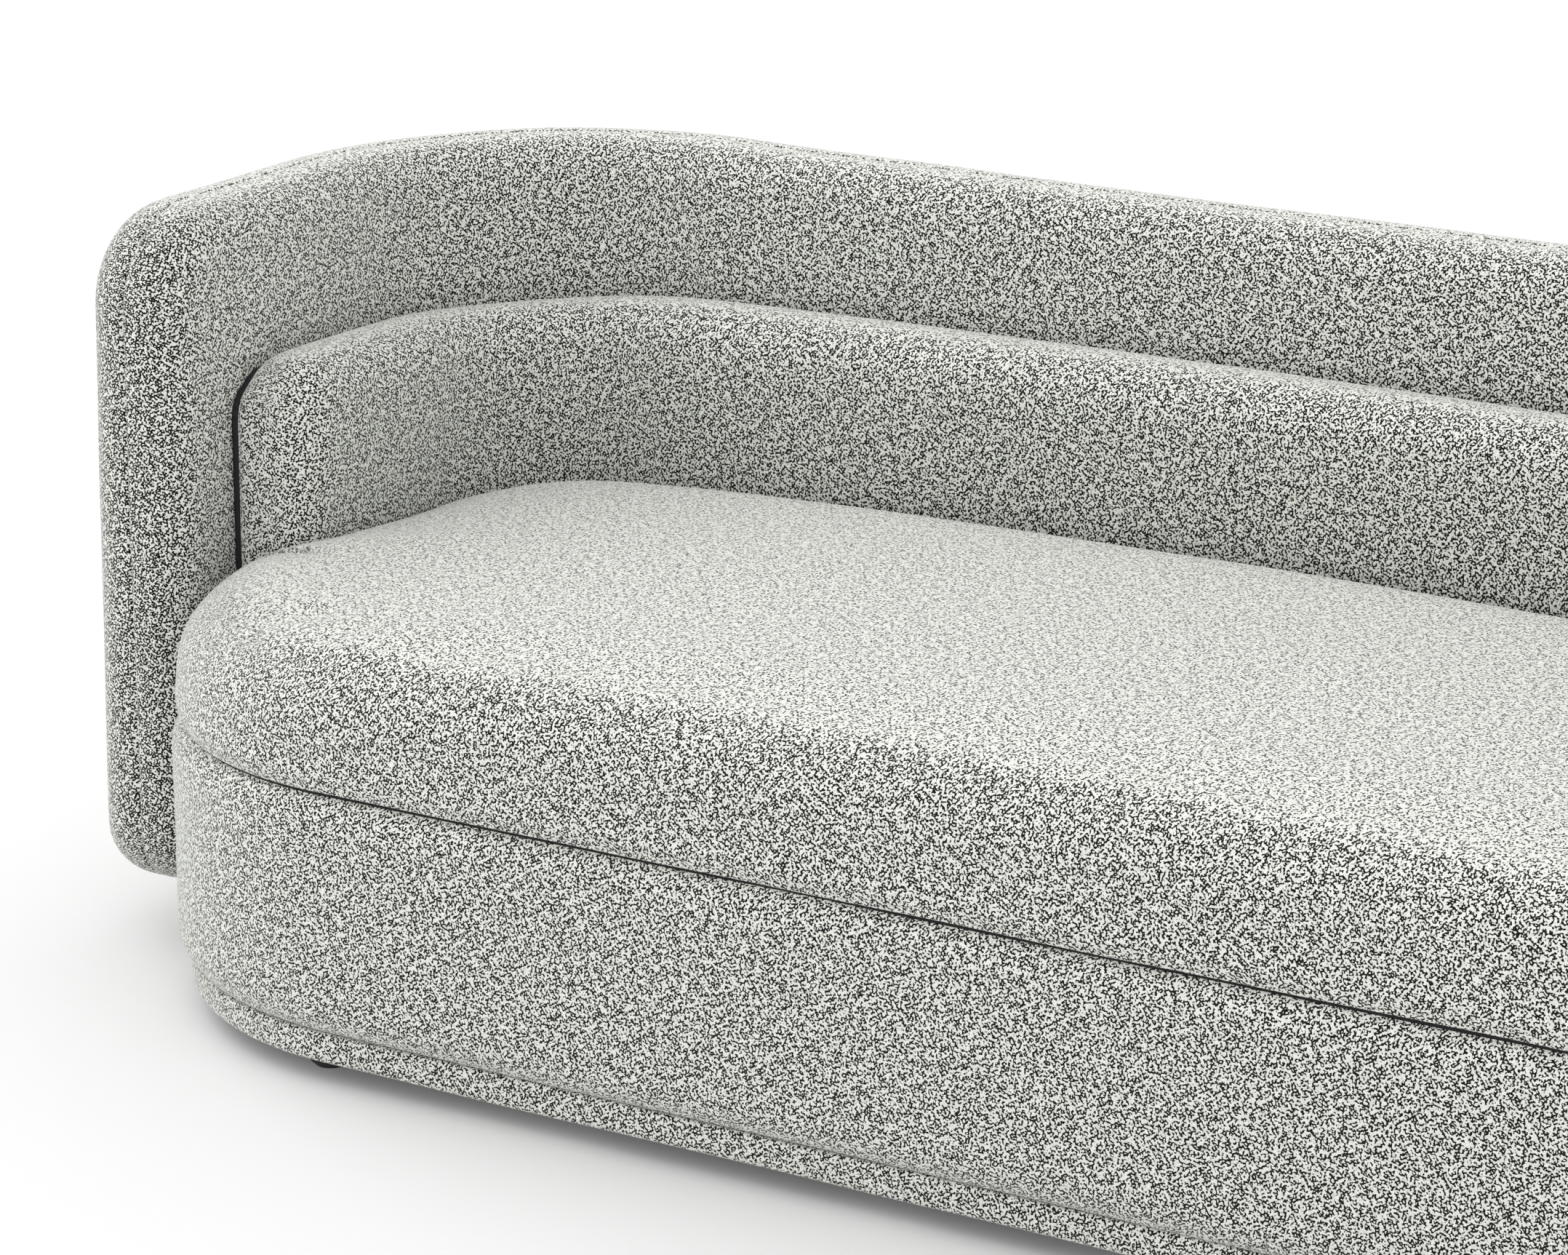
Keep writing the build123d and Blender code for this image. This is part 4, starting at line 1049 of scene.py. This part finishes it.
def make_floor():
    """A wide pale floor that shows white to the camera and keeps the sofa's shadow."""
    mesh = bpy.data.meshes.new("floor")
    corners = [(-1, -1), (1, -1), (1, 1), (-1, 1)]
    mesh.from_pydata([(x * FLOOR_REACH, y * FLOOR_REACH, 0) for x, y in corners], [], [(0, 1, 2, 3)])
    floor = bpy.data.objects.new("floor", mesh)
    bpy.context.scene.collection.objects.link(floor)
    material, shader, add, link = new_material("pale_floor")
    set_inputs(shader, base_color=(FLOOR_TONE, FLOOR_TONE, FLOOR_TONE, 1), roughness=1.0)
    set_inputs(shader, specular_ior_level=0.0, emission_color=(1, 1, 1, 1))
    ray = add("ShaderNodeLightPath").outputs
    seen = calculate(add, "MAXIMUM", ray["Is Camera Ray"], ray["Is Glossy Ray"])
    link(calculate(add, "MULTIPLY", seen, FLOOR_GLOW), "Emission Strength")
    floor.data.materials.append(material)


def hang_lamp(lamp, place, aim):
    """Put a lamp at a place, aimed at a point."""
    holder = bpy.data.objects.new(lamp.name, lamp)
    holder.location = place
    holder.rotation_euler = (Vector(aim) - Vector(place)).to_track_quat("-Z", "Y").to_euler()
    bpy.context.scene.collection.objects.link(holder)


def make_light():
    """Even light from all round, a broad lamp on the left, and a far soft one that gives the shadow."""
    world = bpy.data.worlds.new("studio")
    bpy.context.scene.world = world
    world.use_nodes = True
    set_inputs(world.node_tree.nodes["Background"], color=(1, 1, 1, 1), strength=WORLD_STRENGTH)
    broad = bpy.data.lights.new("left", "AREA")
    broad.shape = "RECTANGLE"
    broad.size = 2.5
    broad.size_y = 2.5
    broad.energy = 20.0
    hang_lamp(broad, place=(-4.0, -1.0, 2.2), aim=(-0.9, -0.2, 0.2))
    far = bpy.data.lights.new("behind", "SUN")
    far.energy = 0.6
    far.angle = math.radians(35)
    hang_lamp(far, place=(-4.0, 1.2, 4.0), aim=(0.0, 0.0, 0.3))


def make_camera():
    """The camera at the photograph's place and angle."""
    camera = bpy.data.cameras.new("camera")
    camera.sensor_fit = "HORIZONTAL"
    camera.sensor_width = CAMERA_SENSOR
    camera.lens = CAMERA_LENS
    camera.clip_end = CAMERA_FAR
    holder = bpy.data.objects.new("camera", camera)
    holder.location = CAMERA_PLACE
    holder.rotation_euler = (math.radians(90 - CAMERA_DOWN), 0, math.radians(CAMERA_TURN))
    bpy.context.scene.collection.objects.link(holder)
    bpy.context.scene.camera = holder


def dress(piece, body, slot, *nodes):
    """Give a piece its finish and its body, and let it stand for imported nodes."""
    piece.data.materials.append(materials[slot])
    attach(piece, body)
    if nodes:
        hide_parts(*nodes)


def finish_nodes():
    """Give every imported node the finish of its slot."""
    for subpart in frame["record"]["subparts"]:
        node = frame["nodes"][subpart["node"]]
        node.data.materials.clear()
        node.data.materials.append(materials[subpart["material_slot"]])


materials = make_materials()
shell = make_shell()
dress(shell, "sofa_frame", "boucle_fabric", "shell_cover", "shell_foam")
back_pad = make_back_pad()
dress(back_pad, "sofa_frame", "boucle_fabric", "back_pad_cover", "back_pad_foam")
# Painted shade in the groove between pad and shell
pad_strip = make_pad_shade_strip()
dress(pad_strip, "sofa_frame", "black_lining")
base = make_band("base", 0.0, base_profile(), seed=3)
dress(base, "sofa_frame", "boucle_fabric", "base_cover", "base_foam")
plinth = make_band("plinth", PLINTH_INSET, plinth_profile(), seed=5)
dress(plinth, "sofa_frame", "boucle_fabric", "plinth_cover")
deck_thickness = base_high.z - deck_low.z
deck = make_panel("deck", base_outline(DECK_BORDER)[0], 0.0, base_high.z, DECK_SAG, deck_thickness)
dress(deck, "sofa_frame", "black_lining", "deck_cloth", "deck_pad")
dust_sheet = make_panel("dust_sheet", base_outline(DUST_SHEET_INSET)[0], 0.0, dust_high.z, DUST_SHEET_SAG)
dress(dust_sheet, "sofa_frame", "black_lining", "dust_cover")
seat = make_seat()
dress(seat, "seat_cushion", "boucle_fabric", "seat_cover", "seat_wrap", "seat_core")
# Painted shade under the cushion's lip
seat_strip = make_seat_shade_strip()
dress(seat_strip, "seat_cushion", "black_lining")
lining = make_lining()
dress(lining, "seat_cushion", "black_lining", "seat_underside")
finish_nodes()

make_floor()
make_light()
make_camera()
bpy.context.scene.view_settings.view_transform = "Standard"
